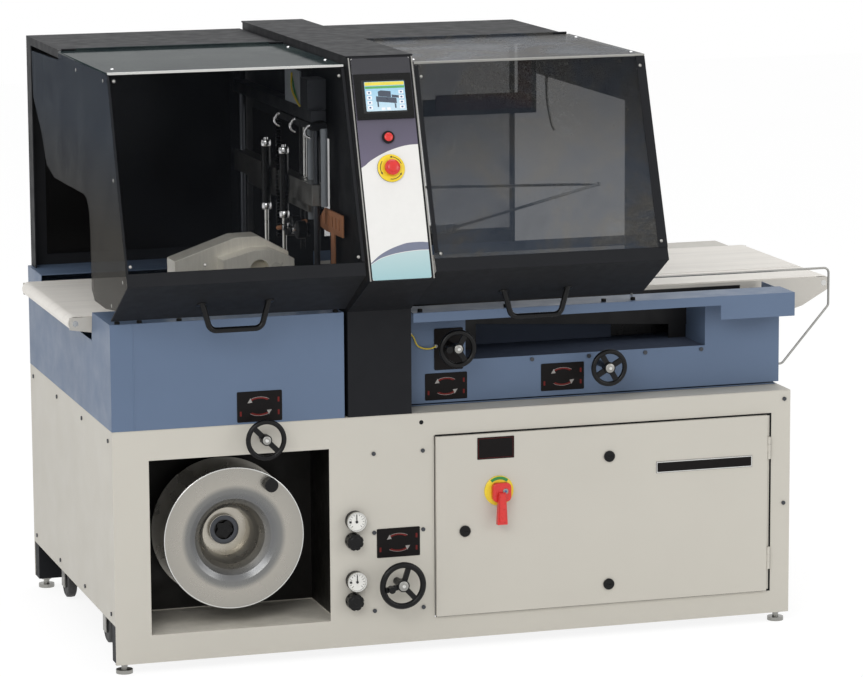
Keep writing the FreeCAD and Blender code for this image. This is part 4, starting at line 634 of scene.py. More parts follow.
NODES_BY_MATERIAL = (
    (BLACK, "base_frame tower_shell console_panel rear_caps left_hood_skirt right_hood_skirt"),
    (BASE, "base_front_panel base_panels electrical_door"),
    (BAY, "winder_bay"),
    (STEEL, "levelling_feet caster_mounts guide_bail upper_jaw caster_fork_front caster_fork_rear"),
    (DARK_STEEL, "panel_screws seal_frame"),
    (BLACK_PLASTIC, "gauges hmi_bezel door_latch_1 door_latch_2 door_latch_3 winder_knob seal_height_wheel "
     "tension_wheel former_height_wheel guide_width_wheel regulator_knob_upper "
     "regulator_knob_lower left_hood_handle right_hood_handle"),
    (BLUE, "left_housing_front left_housing_panels right_frame_body right_rail"),
    (LEFT_BED, "left_conveyor_bed"),
    (BELT, "left_belt right_belt"),
    (BED, "right_conveyor_bed"),
    (REAR_PANE, "rear_windows"),
    (POLISHED, "seal_head_cover"),
    (COMB, "film_comb"),
    (RED_PLASTIC, "disconnect_lever push_button estop_mushroom"),
    (BRIGHT, "winder_shaft left_nose_roller left_drive_roller right_nose_roller right_drive_roller "
     "film_former"),
    (FLANGE, "winder_front_flange winder_rear_flange"),
    (PANE, "left_hood_panes"),
    (RIGHT_PANE, "right_hood_panes"),
    (RUBBER, "caster_wheel_left_front caster_wheel_left_rear caster_wheel_right_front "
     "caster_wheel_right_rear"),
)
NODE_MATERIALS = {name: material for material, names in NODES_BY_MATERIAL for name in names.split()}
SHEET_EDGES = (
    "base_front_panel base_panels winder_bay left_housing_front left_housing_panels "
    "right_frame_body right_rail console_panel rear_caps left_hood_skirt right_hood_skirt "
    "left_hood_panes right_hood_panes film_comb"
)
EDGE_WIDTHS = dict.fromkeys(SHEET_EDGES.split(), 0.8)
EDGE_WIDTHS.update(
    tower_shell=1.2, hmi_bezel=1.6, seal_head_cover=1.5, electrical_door=0.9, right_conveyor_bed=0.5,
    left_conveyor_bed=0.5, upper_jaw=1.2, disconnect_lever=1.5, seal_frame=0.6, rear_windows=0.6,
)


def dress_nodes():
    """Give each CAD node its material, and soften the edges of the sheet parts with modifiers."""
    for name, node in NODES.items():
        node.data.materials.clear()
        node.data.materials.append(NODE_MATERIALS[name])
        if name in EDGE_WIDTHS:
            weld = node.modifiers.new("weld", "WELD")
            weld.merge_threshold = 0.00002
            planar = node.modifiers.new("planar", "DECIMATE")
            planar.decimate_type = "DISSOLVE"
            planar.angle_limit = math.radians(1)
            edge = node.modifiers.new("edge", "BEVEL")
            edge.width = EDGE_WIDTHS[name] / 1000.0
            edge.segments = 2
            edge.limit_method = "ANGLE"
            edge.angle_limit = math.radians(40)
            edge.use_clamp_overlap = True
            flat = node.modifiers.new("flat", "WEIGHTED_NORMAL")
            flat.weight = 100


# Console

def curve_through(points, steps=8):
    return [(p.x, p.y) for p in smooth_path([(u, v, 0) for u, v in points], steps)]


def build_console():
    face = rounded((8, 4), (164, 581.4), 4)
    slab("console_print_white", face, 4.0, 4.5, console, WHITE_PRINT, "frame", 0.15)
    wave = curve_through([(8, 296), (20, 303), (33, 313), (61, 328), (88, 339), (116, 347), (140, 351), (164, 352)])
    zone = wave + [(164, 577.4), (160, 581.4), (12, 581.4), (8, 577.4)]
    slab("console_print_top", zone, 4.5, 4.7, console, TOP_PRINT, "frame", 0.0)
    upper = curve_through([(8, 49), (34, 69), (62, 83), (89, 92), (111, 97), (143, 98), (164, 96)])
    lower = curve_through([(164, 77), (141, 77.5), (114, 76), (87, 73), (60, 68), (33, 60), (8, 46)])
    slab("console_print_crescent", upper + lower, 4.5, 4.7, console, SLATE_PRINT, "frame", 0.0)
    foot = [(u, v - 1.5) for u, v in lower[::-1]] + [(164, 8), (160, 4), (12, 4), (8, 8)]
    slab("console_print_foot", foot, 4.5, 4.7, console, TEAL_PRINT, "frame", 0.0)
    # Painted highlight: thin steel strips along both sides stand in for the light on the tower's rounded corners.
    for tag, u0, u1 in (("left", 0.4, 3.6), ("right", 168.4, 171.6)):
        outline = [(u0, 2), (u1, 2), (u1, 583), (u0, 583)]
        slab("console_corner_highlight_" + tag, outline, 6.0, 6.3, console, STEEL, "frame", 0.15)
    build_screen()
    ring_points = [(22, 0), (36, 0), (36, 0.6), (35.2, 1.2), (22.5, 1.6), (22, 1.2)]
    turned("estop_plate", ring_points, moved(console, 86, 292, 7.0), YELLOW, "frame", count=48)
    arrows = []
    for start in (20, 140, 260):
        arrows.append(arc_band(86, 292, 28.2, 30.0, start, start + 62))
        tip = math.radians(start + 62)
        ahead = math.radians(start + 74)
        arrows.append([
            (86 + 26.2 * math.cos(tip), 292 + 26.2 * math.sin(tip)),
            (86 + 32.0 * math.cos(tip), 292 + 32.0 * math.sin(tip)),
            (86 + 29.1 * math.cos(ahead), 292 + 29.1 * math.sin(ahead)),
        ])
    slabs("estop_turn_marks", arrows, 8.35, 8.55, console, INK, "frame")
    collar = [(12.2, 0), (16.5, 0), (16.5, 1.8), (15.4, 2.8), (12.2, 2.8)]
    turned("button_collar", collar, moved(console, 86, 372.5, 8.0), BLACK_PLASTIC, "frame", count=40)
    dome = [(0, 0.9), (5, 0.8), (8.5, 0.3), (9.6, -0.2), (9.6, -0.6)]
    turned("button_crown", dome, moved(console, 86, 372.5, 13.2), RED_PLASTIC, "start_button", count=36)
    crown = [(0, 1.5), (7, 1.3), (12, 0.6), (13.8, -0.1), (13.8, -0.4)]
    turned("estop_crown", crown, moved(console, 86, 292, 28.0), RED_PLASTIC, "emergency_stop", count=40)


def build_screen():
    """The display behind its bezel, with a plain generic picture and keys."""
    slab("screen_glass", rounded((28, 432), (144, 526), 3), 9.05, 9.35, console, SCREEN_GLASS, "frame", 0.1)
    sky = graded("screen_sky", linear(205, 228, 240), linear(140, 196, 226), 1.44, 1.52, 0.25)
    slab("screen_picture", rounded((36, 441), (142.5, 518), 1.5), 9.35, 9.5, console, sky, "frame", 0.0)
    head = plastic("screen_head", linear(232, 214, 84), 0.3)
    slab("screen_header", rounded((37, 508), (141.5, 517), 1), 9.5, 9.6, console, head, "frame", 0.0)
    grass = plastic("screen_green", linear(92, 168, 92), 0.3)
    slab("screen_line", rounded((37, 500), (141.5, 506), 1), 9.5, 9.6, console, grass, "frame", 0.0)
    shapes = [
        [(64, 466), (118, 460), (118, 474), (64, 480)],
        [(70, 480), (104, 476), (104, 492), (78, 495), (70, 492)],
        [(106, 476), (126, 474), (126, 480), (106, 483)],
        [(66, 452), (70, 452), (70, 465), (66, 466)],
        [(112, 448), (116, 448), (116, 459), (112, 460)],
    ]
    slabs("screen_machine", shapes, 9.5, 9.6, console, plastic("screen_grey", linear(70, 78, 92), 0.3), "frame")
    keys = [rounded((u, v), (u + 13, v + 9), 1.5) for u in (40, 125) for v in (446, 459, 472, 485)]
    keys += [rounded((u, 443), (u + 10, 450), 1.5) for u in (76, 90)]
    slabs("screen_keys", keys, 9.5, 9.7, console, plastic("screen_key", linear(238, 240, 243), 0.3), "frame")
    marks = [rounded((u + 4, v + 2.5), (u + 9, v + 6.5), 1) for u in (40, 125) for v in (446, 459, 472, 485)]
    slabs("screen_key_marks", marks, 9.7, 9.8, console, plastic("screen_mark", linear(60, 92, 140), 0.3), "frame")
    outer, inner = rounded((17, 426), (155, 533), 4), rounded((26.5, 436), (145.5, 523), 3)
    band("screen_surround", outer, inner, 10.0, 10.5, console, BLACK_PLASTIC, "frame", 0.2)


# Plates

def arrow_plate(name, low, high, depth, body="frame"):
    """A black plate with two bent arrows and no words."""
    (x0, z0), (x1, z1) = low, high
    face = front(depth)
    slab(name, rounded(low, high, 3), 0.1, 1.3, face, PLATE_BLACK, body, 0.4)
    wide, height, mid = x1 - x0, z1 - z0, (x0 + x1) / 2
    reach, thick = wide * 0.27, 8.0
    lines, heads = [], []
    for side, level in ((1, z0 + height * 0.56), (-1, z0 + height * 0.44)):
        arch = arc_band(mid, 0, reach - thick, reach, 38, 142)
        lines.append([(u, level + side * (v * 0.5 + height * 0.04)) for u, v in arch])
        tip = math.radians(145 if side > 0 else 35)
        u = mid + (reach - thick / 2) * math.cos(tip)
        v = level + side * ((reach - thick / 2) * math.sin(tip) * 0.5 + height * 0.04)
        lean = -1 if side > 0 else 1
        heads.append([(u + lean * 9, v - side * 6.5), (u + lean * 1, v + side * 6), (u - lean * 4, v - side * 5.5)])
    slabs(name + "_arches", lines, 1.3, 1.45, face, PLATE_RED, body)
    slabs(name + "_heads", heads, 1.45, 1.55, face, PLATE_GREY, body)
    rims = []
    for arch in lines:
        half = len(arch) // 2
        outer = arch[:half]
        rims.append(outer + [(u, v + (0.9 if outer[0][1] > z0 + height / 2 else -0.9)) for u, v in reversed(outer)])
    slabs(name + "_edges", rims, 1.3, 1.5, face, PLATE_GREY, body)
    ticks = [rounded((x, z0 + height * s), (x + 5, z0 + height * s + height * 0.16), 1.2)
             for x, s in ((x0 + 7, 0.2), (x1 - 12, 0.62), (x1 - 12, 0.2))]
    slabs(name + "_marks", ticks, 1.3, 1.45, face, PLATE_RED, body)


def build_plates():
    arrow_plate("plate_seal_height", (702, 260), (820, 338), 0)
    arrow_plate("plate_tension", (330, 645), (450, 725), 0)
    arrow_plate("plate_former", (862.5, 655), (979, 727), 86)
    arrow_plate("plate_guide", (1185, 661), (1306, 735), 86)
    door = front(-10)
    slab("name_plate", rounded((1477, 438), (1751.5, 469), 1.5), 0.1, 1.6, door, PLATE_BLACK, "door", 0.4)
    outer, inner = rounded((1477.5, 438.5), (1751, 468.5), 1.5), rounded((1480, 441), (1748.5, 466), 1)
    band("name_plate_border", outer, inner, 1.6, 2.0, door, BRIGHT, "door", 0.2)
    slab("switch_plate", rounded((976, 507), (1078, 566), 2), 0.1, 1.1, door, PLATE_BLACK, "door", 0.4)
    outer, inner = rounded((979, 510), (1075, 563), 1.5), rounded((979.8, 510.8), (1074.2, 562.2), 1)
    band("switch_plate_line", outer, inner, 1.1, 1.25, door, PLATE_RED, "door", 0.0)


def build_door_shadow_line():
    """Black strips above, right of and below the door: painted shade for the dark gap and shadow round it."""
    low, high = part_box("electrical_door")
    x0, x1 = low[0] * 1000 + ORIGIN_X, high[0] * 1000 + ORIGIN_X
    z0, z1 = low[2] * 1000, high[2] * 1000
    strips = [
        [(x0, z1 - 2), (x1 + 3, z1 - 2), (x1 + 3, z1 + 4.5), (x0, z1 + 4.5)],
        [(x1 - 2, z0 - 3), (x1 + 3, z0 - 3), (x1 + 3, z1 - 2), (x1 - 2, z1 - 2)],
        [(x0, z0 - 3), (x1 - 2, z0 - 3), (x1 - 2, z0 + 2), (x0, z0 + 2)],
    ]
    # Painted shade round the door's edges.
    slabs("door_painted_shadow", strips, 0.1, 0.7, front(0), BLACK_RUBBER, "frame")


def build_switch():
    """The disconnect's yellow collar with its green arc, and the lock barrel beside it."""
    door = moved(front(-10), 1035, 421)
    collar = [(20, 0.2), (40, 0.2), (40, 3.2), (38.5, 4.6), (24, 6.2), (20, 6.2)]
    turned("switch_collar", collar, door, YELLOW, "door", count=48)
    slabs("switch_on_arc", [arc_band(0, 0, 30.5, 38.5, 50, 130)], 5.7, 5.9, door, GREEN, "door")
    turned("switch_cap", [(0, 3.2), (10, 2.9), (14, 1.6), (15, 0), (0, 0)], moved(door, 0, 0, 22), RED_PLASTIC,
           "disconnect", count=32)
    grip = [(-8, -2), (8, -2), (9, -80), (-9, -80)]
    slab("switch_grip_rib", grip, 34, 36.5, door, RED_PLASTIC, "disconnect", 1.2)
    slab("switch_hub", rounded((-23, -27), (28, 24), 13, 6), 7, 24, door, RED_PLASTIC, "disconnect", 2.5)
    barrel = [(7.5, 0), (7.5, 2.4), (6.6, 3.2), (3.4, 3.2), (3.2, 2.0), (0, 2.0)]
    turned("lock_barrel", barrel, moved(door, 11, 2, 24), STEEL, "disconnect", count=28)
    turned("lock_core", [(0, 2.1), (3.0, 2.1), (3.0, 2.7), (0, 2.7)], moved(door, 11, 2, 24), BLUE_PLASTIC,
           "disconnect", count=24)


# Base details

def build_gauges():
    for tag, height in (("upper", 366), ("lower", 205)):
        face = moved(front(0), 642, height)
        turned(f"gauge_{tag}_dial", [(0, 21.1), (22.8, 21.1), (22.8, 21.4), (0, 21.4)], face, DIAL, "frame")
        ticks = []
        for number in range(13):
            turn = math.radians(225 - 22.5 * number)
            inner, outer = (16.5 if number % 3 else 14.5), 20.5
            across = Vector((-math.sin(turn), math.cos(turn), 0)) * 0.55
            ahead = Vector((math.cos(turn), math.sin(turn), 0))
            ticks.append([tuple((ahead * r + across * s)[:2])
                          for r, s in ((inner, -1), (outer, -1), (outer, 1), (inner, 1))])
        slabs(f"gauge_{tag}_scale", ticks, 21.4, 21.6, face, INK, "frame")
        rim = [(22.9, 21.0), (26.4, 20.0), (26.6, 23.4), (25.6, 25.0), (23.4, 25.2), (22.9, 24.4)]
        ringed(f"gauge_{tag}_rim", rim, face, BRIGHT, "frame", 40)
        slab(f"gauge_{tag}_stop", rounded((-20, -3), (-14, 3), 1.2), 21.4, 22.4, face, INK, "frame", 0.2)
        turned(f"gauge_{tag}_hub", [(3.4, 21.4), (3.4, 23.6), (2.2, 24.2), (0, 24.2)], face, INK, "frame", count=20)
    for tag, height in (("upper", 313), ("lower", 152)):
        face = moved(front(0), 636, height)
        crown = [(0, 31.4), (12, 31.2), (14.5, 30.4), (15, 29.8), (0, 29.8)]
        turned(f"regulator_{tag}_cap", crown, face, BLACK_PLASTIC, "regulator_" + tag, count=32)
        turned(f"regulator_{tag}_nut", [(18, 0), (18, 2.6), (16.5, 3.6), (7, 3.6), (7, 0)], face, STEEL, "frame",
               count=6)


def ringed(name, points, to_world, material, body, sharp, count=40):
    """A lathe round w whose closed section never meets the axis."""
    data = bmesh.new()
    turns = [2 * math.pi * i / count for i in range(count)]
    rings = [[data.verts.new(to_world(r * math.cos(t), r * math.sin(t), w)) for t in turns] for r, w in points]
    for k in range(len(rings)):
        one, two = rings[k], rings[(k + 1) % len(rings)]
        for i in range(count):
            j = (i + 1) % count
            data.faces.new((one[i], one[j], two[j], two[i]))
    piece = make(name, finish_faces(data), material, body, smooth=True)
    piece.data.set_sharp_from_angle(angle=math.radians(sharp))


def build_wheel_caps():
    """Bright hub faces with a bolt on each handwheel."""
    for name, body, x, z, y, radius in (
        ("seal_height", "seal_height", 756, 195, -65, 13), ("tension", "scrap_tension", 395, 604, -53, 11),
        ("former", "former_height", 927, 805, -8, 11), ("guide", "guide_width", 1347, 730, -8, 12),
    ):
        face = moved(front(y), x, z)
        turned(f"{name}_hub_face", [(radius, -0.6), (radius, 0.6), (radius - 1, 1.3), (0, 1.3)], face, STEEL, body)
        turned(f"{name}_hub_bolt", [(5.4, 1.2), (5.4, 4.2), (4.8, 4.8), (0, 4.8)], face, BRIGHT, body, count=6)


def build_winder_details():
    """Bright rolled rim, the hub's splined socket as a black disc of painted shade, and the knob's cap."""
    face = moved(front(38), 327, 333)
    rim_points = [(186.4, -3.4), (188, -2.6), (188, 0.4), (186.6, 1.6), (184.6, 1.2), (184.6, -2.4)]
    ringed("flange_rolled_edge", rim_points, face, BRIGHT, "winder", 60, 96)
    # Painted shade: the splined socket's hole is a flat black lobed disc.
    lobes = []
    for step in range(60):
        turn = 2 * math.pi * step / 60
        radius = 20.5 + 3.6 * math.cos(5 * turn + 0.6)
        lobes.append((radius * math.cos(turn), radius * math.sin(turn)))
    slab("hub_socket_shade", lobes, -108.2, -107.4, face, BLACK_PLASTIC, "winder", 0.0)
    cup_points = [(25.8, -114), (25.8, -106.6), (27, -105.6), (38, -105.6), (40.4, -106.8), (40.4, -111)]
    ringed("hub_ring_face", cup_points, face, DARK_STEEL, "winder", 50, 60)
    cap = [(0, 26.6), (13, 26.4), (16.6, 25.4), (17.6, 25), (0, 25)]
    place = (168 * math.cos(math.radians(55)), 168 * math.sin(math.radians(55)))
    turned("winder_knob_cap", cap, face, BLACK_PLASTIC, "winder", places=(place,), count=40)


def build_base_details():
    dome = [(6.4, 0), (6.2, 1.4), (4.6, 2.9), (2.2, 3.6), (0, 3.8)]
    bumpers = [(21, 9), (79, 9), (183, 9), (598, 9)]
    turned("deck_bumpers", [(7, 0), (7, 5.6), (6, 6.6), (0, 6.8)], top(918), BLACK_RUBBER, "frame", bumpers, 24)
    turned("rail_bumpers", [(6.5, 0), (6.5, 6.8), (5.6, 7.8), (0, 8)], top(905), BLACK_RUBBER, "frame",
           [(830, 20), (1066, 20), (1338, 20), (1420, 20)], 24)
    heads = [(30, 610), (30, 330), (30, 60), (600, 610), (1180, 610), (1500, 610), (1180, 60), (1500, 60)]
    turned("rear_skin_screws", dome, back(1062), STEEL, "frame", heads, 20)
    slats = []
    for number in range(9):
        low = 380 + 20 * number
        slats.append([(low, 0.2), (low + 4, 4.6), (low + 13, 5.2), (low + 15, 0.2)])
    for tag, x0 in (("left", 300), ("right", 1280)):
        slabs("vent_" + tag, slats, x0, x0 + 260, lambda v, w, u: at(u, 1062 + w, v), BASE, "frame", 0.6)


def build_frame_details():
    """Backing plate of the former's wheel, the earth strap, clips, and painted shade in the window: a black sheet,
    a black block and a darker blue pan.
    """
    slab("former_wheel_plate", rounded((888, 735), (968, 846), 4), 0.2, 2.2, front(86), PLATE_BLACK, "frame", 0.5)
    strap = [(822, 82, 836), (830, 80, 828), (840, 80, 806), (858, 80, 796), (878, 80, 795), (892, 81, 800)]
    tube("earth_strap", strap, 2.0, EARTH_YELLOW, "frame")
    nut = [(6, 0), (6, 4), (5, 5), (0, 5)]
    turned("earth_studs", nut, front(86), STEEL, "frame", [(822, 836), (892, 800)], 6)
    # Painted shade: a black sheet fills the back of the window.
    liner = [(977, 300), (1649, 300), (1649, 302), (977, 302)]
    slab("window_shade_sheet", liner, 761, 878, top(0), BLACK_PLASTIC, "frame", 0.0)
    block("frame_tray", (812, 90, 641), (1858, 840, 643.5), BLUE, "frame", 0.6)
    block("window_end_plate", (1652, 89, 655), (1655, 520, 878), BLUE, "frame", 0.6)
    # Painted shade: the pan's floor and wall use the darker copy of the blue paint.
    block("frame_pan_floor", (977, 90, 754), (1650, 322, 758.5), PAN_PAINTED_SHADE, "frame", 0.4)
    block("frame_pan_wall", (977, 297, 759), (1458, 300, 884), PAN_PAINTED_SHADE, "frame", 0.4)
    # Painted shade: a black block at the back of the pan.
    block("frame_pan_shade", (1440, 318, 759), (1651, 322, 884), BLACK_PLASTIC, "frame", 0.4)


# Hoods

DOME = [(4.6, 0.0), (4.6, 0.8), (3.9, 2.0), (2.5, 3.0), (1.1, 3.4), (0, 3.5)]


def build_hood_details():
    """Dome nuts, bright strips of painted highlight on the roofs' front edges, and the dark corner strips of both
    hoods.
    """
    left_places = [(18, 495), (604, 488), (14, 18), (205, 14), (604, 14)]
    right_places = [(822, 478), (1421, 486), (822, 12), (1421, 16)]
    turned("left_hood_nuts", DOME, moved(hood_front, 0, 0, 1.8), STEEL, "left_hood", left_places, 24)
    turned("right_hood_nuts", DOME, moved(hood_front, 0, 0, 1.8), STEEL, "right_hood", right_places, 24)
    turned("left_hood_end_nuts", [(r, h * 0.4) for r, h in DOME], left_side(2.0), STEEL, "left_hood",
           [(361, 1534), (32, 1538), (-69, 1297), (-156, 1051), (-20, 971)], 24)
    turned("left_hood_roof_nuts", DOME, top(1561.8), CHROME, "left_hood", [(606, 110), (34, 68), (606, 480)], 24)
    turned("right_hood_roof_nuts", DOME, top(1561.8), CHROME, "right_hood",
           [(1420, 40), (822, 40), (1420, 480)], 24)
    # Painted highlight: a bright metal strip along each roof's front edge stands in for the light on the sheet's
    # cut edge.
    for tag, x0, x1 in (("left", 2.0, 620.0), ("right", 806.0, 1437.0)):
        edge = [(-15, 1556.2), (-15.8, 1558.2), (-15, 1562.3), (-9, 1562.3), (-9, 1561.9), (-13, 1561.4)]
        slab(tag + "_hood_edge_highlight", edge, x0 + 1, x1 - 1, lambda u, v, w: at(w, u, v),
             BRIGHT if tag == "left" else STEEL, tag + "_hood", 0.2)
    inner = [(807, 16), (817, 16), (817, HOOD_SLOPE - 4), (807, HOOD_SLOPE - 4)]
    slab("right_hood_inner_strip", inner, 0.1, 1.9, hood_front, BLACK, "right_hood", 0.4)
    slab("left_hood_right_strip", [(612, 2), (620, 2), (620, HOOD_SLOPE - 3), (612, HOOD_SLOPE - 3)], 0.1, 1.9,
         hood_front, BLACK, "left_hood", 0.4)
    for tag, start in (("left", 220), ("right", 1031)):
        depth = -85 if tag == "left" else -66
        along = (depth - FOOT_Y) / SKIRT_Y
        flange = [(0, 0.2), (13, 0.2), (13, 1.6), (11.5, 2.6), (0, 2.6)]
        turned(tag + "_handle_feet", flange, skirt_face, BLACK_PLASTIC, tag + "_hood",
               [(start, along), (start + 178, along)], 28)


# Seal station

def build_station_details():
    """Air cylinders, hoses, wires and brackets that show through the left hood."""
    for number, (x, y) in enumerate(((560, 556), (563, 380))):
        tube(f"air_cylinder_{number}", [(x, y, 1130), (x, y, 1290)], 12, BLACK_PLASTIC, "frame", curved=False,
             sides=24)
        for end, z in enumerate((1118, 1290)):
            cap = [(0, 0), (13, 0), (14, 2), (14, 14), (12, 18), (6, 18), (6, 24), (0, 24)]
            turned(f"air_cylinder_{number}_cap_{end}", cap, moved(top(z), x, y), CHROME, "frame", count=28)
        tube(f"air_cylinder_{number}_post", [(x, y, 920), (x, y, 1119)], 6, BRIGHT, "frame", curved=False)
        block(f"air_cylinder_{number}_foot", (x - 22, y - 22, 909), (x + 22, y + 22, 921), STEEL, "frame")
    block("valve_plate", (574, 250, 1396), (579, 400, 1520), GREY_PAINT, "frame", 1.0)
    block("valve_plate_arm", (574, 250, 1400), (610, 262, 1430), BLACK, "frame", 1.0)
    wire = [(572, 322, 1510), (566, 300, 1470), (570, 250, 1436), (576, 222, 1428), (586, 190, 1445),
            (600, 172, 1450)]
    tube("station_wire_yellow", wire, 2.6, EARTH_YELLOW, "frame")
    wire = [(575, 330, 1512), (572, 296, 1466), (574, 254, 1430), (582, 226, 1424), (592, 200, 1436),
            (604, 184, 1444)]
    tube("station_wire_green", wire, 2.2, GREEN, "frame")
    block("station_plug", (592, 150, 1430), (612, 186, 1462), BLUE_PLASTIC, "frame", 3.0)
    for number, (y, z) in enumerate(((430, 1374), (268, 1376), (124, 1374))):
        hook = [(568, y, z + 18), (560, y + 4, z + 14), (554, y + 6, z + 2), (558, y + 6, z - 10),
                (568, y + 4, z - 16)]
        tube(f"station_hook_{number}", hook, 4.2, CHROME, "frame")
        tube(f"station_hose_{number}", [(568, y, z + 18), (590, y, z + 26), (612, y + 6, z + 22)], 5, BLACK_RUBBER,
             "frame")
    block("station_header", (566, 110, 1380), (608, 450, 1398), BLACK, "frame", 2.0)
    for number, (y, z0, z1, radius, tone) in enumerate((
        (300, 1150, 1380, 5, BRIGHT), (244, 1130, 1380, 8, GREY_PAINT), (196, 1120, 1384, 6, STEEL),
        (110, 1180, 1384, 9, GREY_PAINT), (330, 1040, 1380, 7, BLACK_PLASTIC),
    )):
        tube(f"station_rod_{number}", [(600, y, z0), (600, y, z1)], radius, tone, "frame", curved=False, sides=16)
    cluster = [(0, 0), (20, 0), (24, 5), (24, 40), (18, 46), (18, 60), (0, 60)]
    for number, (y, z) in enumerate(((338, 1098), (290, 1110), (236, 1104))):
        turned(f"station_pulley_{number}", cluster, lambda a, b, c, y=y, z=z: at(556 + c * 0.6, y + a, z + b),
               BLACK_PLASTIC, "frame", count=28)
        turned(f"station_pulley_{number}_nut", [(9, 36), (9, 43), (7, 45), (0, 45)],
               lambda a, b, c, y=y, z=z: at(590 - c, y + a, z + b), CHROME, "frame", count=24)
    lever = [(556, 420, 1085), (562, 370, 1096), (574, 300, 1112), (590, 262, 1122)]
    tube("station_lever", lever, 6, COMB, "frame")
    levels = [1052 + 9.4 * number for number in range(34)]
    links = [rounded((472, low), (486, low + 7.6), 2.4, 3) for low in levels]
    slabs("cable_chain", links, 0, 12, right_side(568), BLACK_PLASTIC, "frame", 0.6)


def build_right_details():
    """The dark red frame, bracket and hanging rod that show through the right hood."""
    face = front(596.0)
    outer = [(1018, 1346), (1345, 1346), (1345, 1540), (1312, 1540), (1312, 1392), (1018, 1392)]
    slab("film_bar_black", outer, -8, 0, face, BLACK, "frame", 1.0)
    inner = [(1052, 1360), (1330, 1360), (1330, 1536), (1290, 1536), (1290, 1404), (1052, 1404)]
    slab("film_bar_red", inner, 0.2, 4, face, MAROON, "frame", 0.8)
    block("film_bar_hanger", (1322, 588, 1530), (1372, 612, 1559), BLACK, "frame", 1.5)
    roll = [(0, 0), (12, 0), (14, 3), (14, 24), (0, 26)]
    turned("film_bar_roll", roll, moved(front(592), 1352, 1520), COMB, "frame", count=28)
    rod = [(1368, 590, 1540), (1372, 590, 1450), (1374, 588, 1380), (1384, 584, 1320), (1392, 580, 1296)]
    tube("film_bar_spring", rod, 4.0, BRIGHT, "frame")


# Light, floor and camera

def seen_directly(tree):
    """A value of 1 for camera, transmission and glossy rays."""
    path = tree.nodes.new("ShaderNodeLightPath")
    seen = path.outputs["Is Camera Ray"]
    for kind in ("Is Transmission Ray", "Is Glossy Ray"):
        either = tree.nodes.new("ShaderNodeMath")
        either.operation = "MAXIMUM"
        tree.links.new(seen, either.inputs[0])
        tree.links.new(path.outputs[kind], either.inputs[1])
        seen = either.outputs["Value"]
    return seen


def floor_paper():
    """White paper that stays white where it is seen and still takes the machine's shadow."""
    sheet = Shader("floor_paper", 0.9, level=0.0)
    sheet.paint(sheet.noise(0.8, 3.0), [(0.3, (0.97, 0.97, 0.97)), (0.7, (1.0, 1.0, 1.0))])
    tree = sheet.tree
    glow = sheet.node("ShaderNodeEmission")
    glow.inputs["Color"].default_value = (1.0, 1.0, 1.0, 1.0)
    glow.inputs["Strength"].default_value = 1.1
    mix = sheet.node("ShaderNodeMixShader")
    tree.links.new(sheet.computed("MULTIPLY", seen_directly(tree), 0.8), mix.inputs["Fac"])
    tree.links.new(sheet.body.outputs["BSDF"], mix.inputs[1])
    tree.links.new(glow.outputs["Emission"], mix.inputs[2])
    tree.links.new(mix.outputs["Shader"], tree.nodes["Material Output"].inputs["Surface"])
    return sheet.material


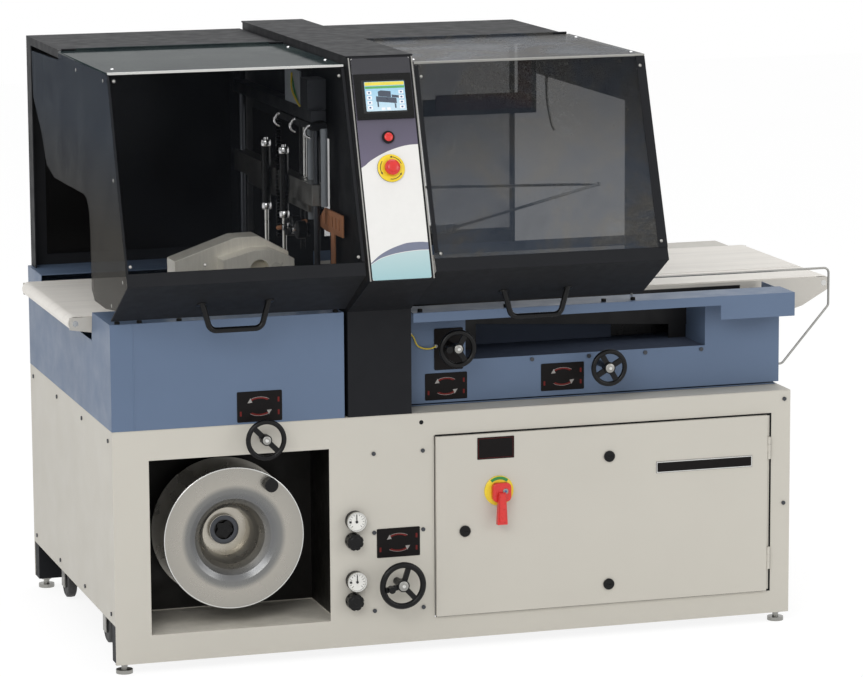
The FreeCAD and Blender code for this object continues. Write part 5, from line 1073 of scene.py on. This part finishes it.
def build_stage():
    scene = bpy.context.scene
    scene.view_settings.view_transform = "Standard"
    world = bpy.data.worlds.new("studio")
    scene.world = world
    world.use_nodes = True
    tree = world.node_tree
    back_node = tree.nodes["Background"]
    back_node.inputs["Color"].default_value = (1.0, 1.0, 1.0, 1.0)
    back_node.inputs["Strength"].default_value = WORLD_LIGHT
    seen = tree.nodes.new("ShaderNodeBackground")
    seen.inputs["Color"].default_value = (1.0, 1.0, 1.0, 1.0)
    seen.inputs["Strength"].default_value = 1.0
    mix = tree.nodes.new("ShaderNodeMixShader")
    tree.links.new(seen_directly(tree), mix.inputs["Fac"])
    tree.links.new(back_node.outputs["Background"], mix.inputs[1])
    tree.links.new(seen.outputs["Background"], mix.inputs[2])
    tree.links.new(mix.outputs["Shader"], tree.nodes["World Output"].inputs["Surface"])

    data = bmesh.new()
    size = 14.0
    corners = [(-size, -size), (size, -size), (size, size), (-size, size)]
    data.faces.new([data.verts.new((x, y, 0.0)) for x, y in corners])
    mesh = bpy.data.meshes.new("floor")
    data.to_mesh(mesh)
    data.free()
    floor = placed("floor", mesh)
    mesh.materials.append(floor_paper())

    for name, place, target, width, height, power in LAMPS:
        lamp = bpy.data.lights.new(name, "AREA")
        lamp.shape = "RECTANGLE"
        lamp.size, lamp.size_y, lamp.energy = width, height, power
        holder = placed(name, lamp)
        holder.location = place
        holder.rotation_euler = (Vector(target) - Vector(place)).to_track_quat("-Z", "Y").to_euler()


WORLD_LIGHT = 0.55
LAMPS = (
    ("key_soft", (-3.5, -5.5, 4.2), (0, 0, 0.7), 4.0, 3.0, 150.0),
    ("fill_soft", (4.5, -5.0, 3.0), (0, 0, 0.7), 3.0, 3.0, 60.0),
    ("left_soft", (-5.0, -0.5, 3.4), (-0.6, 0, 0.9), 2.5, 2.5, 20.0),
    ("top_soft", (0.5, 0.0, 5.0), (0.2, 0, 0.9), 4.0, 3.0, 50.0),
)


def build_camera():
    """The photo's camera: place, yaw, pitch and roll solved from its straight edges."""
    yaw, pitch, roll = 0.2972, 0.1714, -0.0056
    ahead = Vector((math.sin(yaw) * math.cos(pitch), math.cos(yaw) * math.cos(pitch), -math.sin(pitch)))
    level = Vector((math.cos(yaw), -math.sin(yaw), 0.0))
    upward = level.cross(ahead)
    across = level * math.cos(roll) + upward * math.sin(roll)
    upward = upward * math.cos(roll) - level * math.sin(roll)
    lens = bpy.data.cameras.new("photo_camera")
    lens.sensor_fit = "HORIZONTAL"
    lens.sensor_width = 36.0
    lens.lens = 3867.49 * 36.0 / 863.0
    lens.clip_end = 100.0
    camera = placed("photo_camera", lens)
    rows = Matrix((across, upward, -ahead)).transposed()
    camera.matrix_world = Matrix.Translation(at(-2055.4, -9502.9, 2556.4)) @ rows.to_4x4()
    bpy.context.scene.camera = camera


dress_nodes()
build_console()
build_plates()
build_door_shadow_line()
build_switch()
build_gauges()
build_wheel_caps()
build_winder_details()
build_base_details()
build_frame_details()
build_hood_details()
build_station_details()
build_right_details()
build_stage()
build_camera()
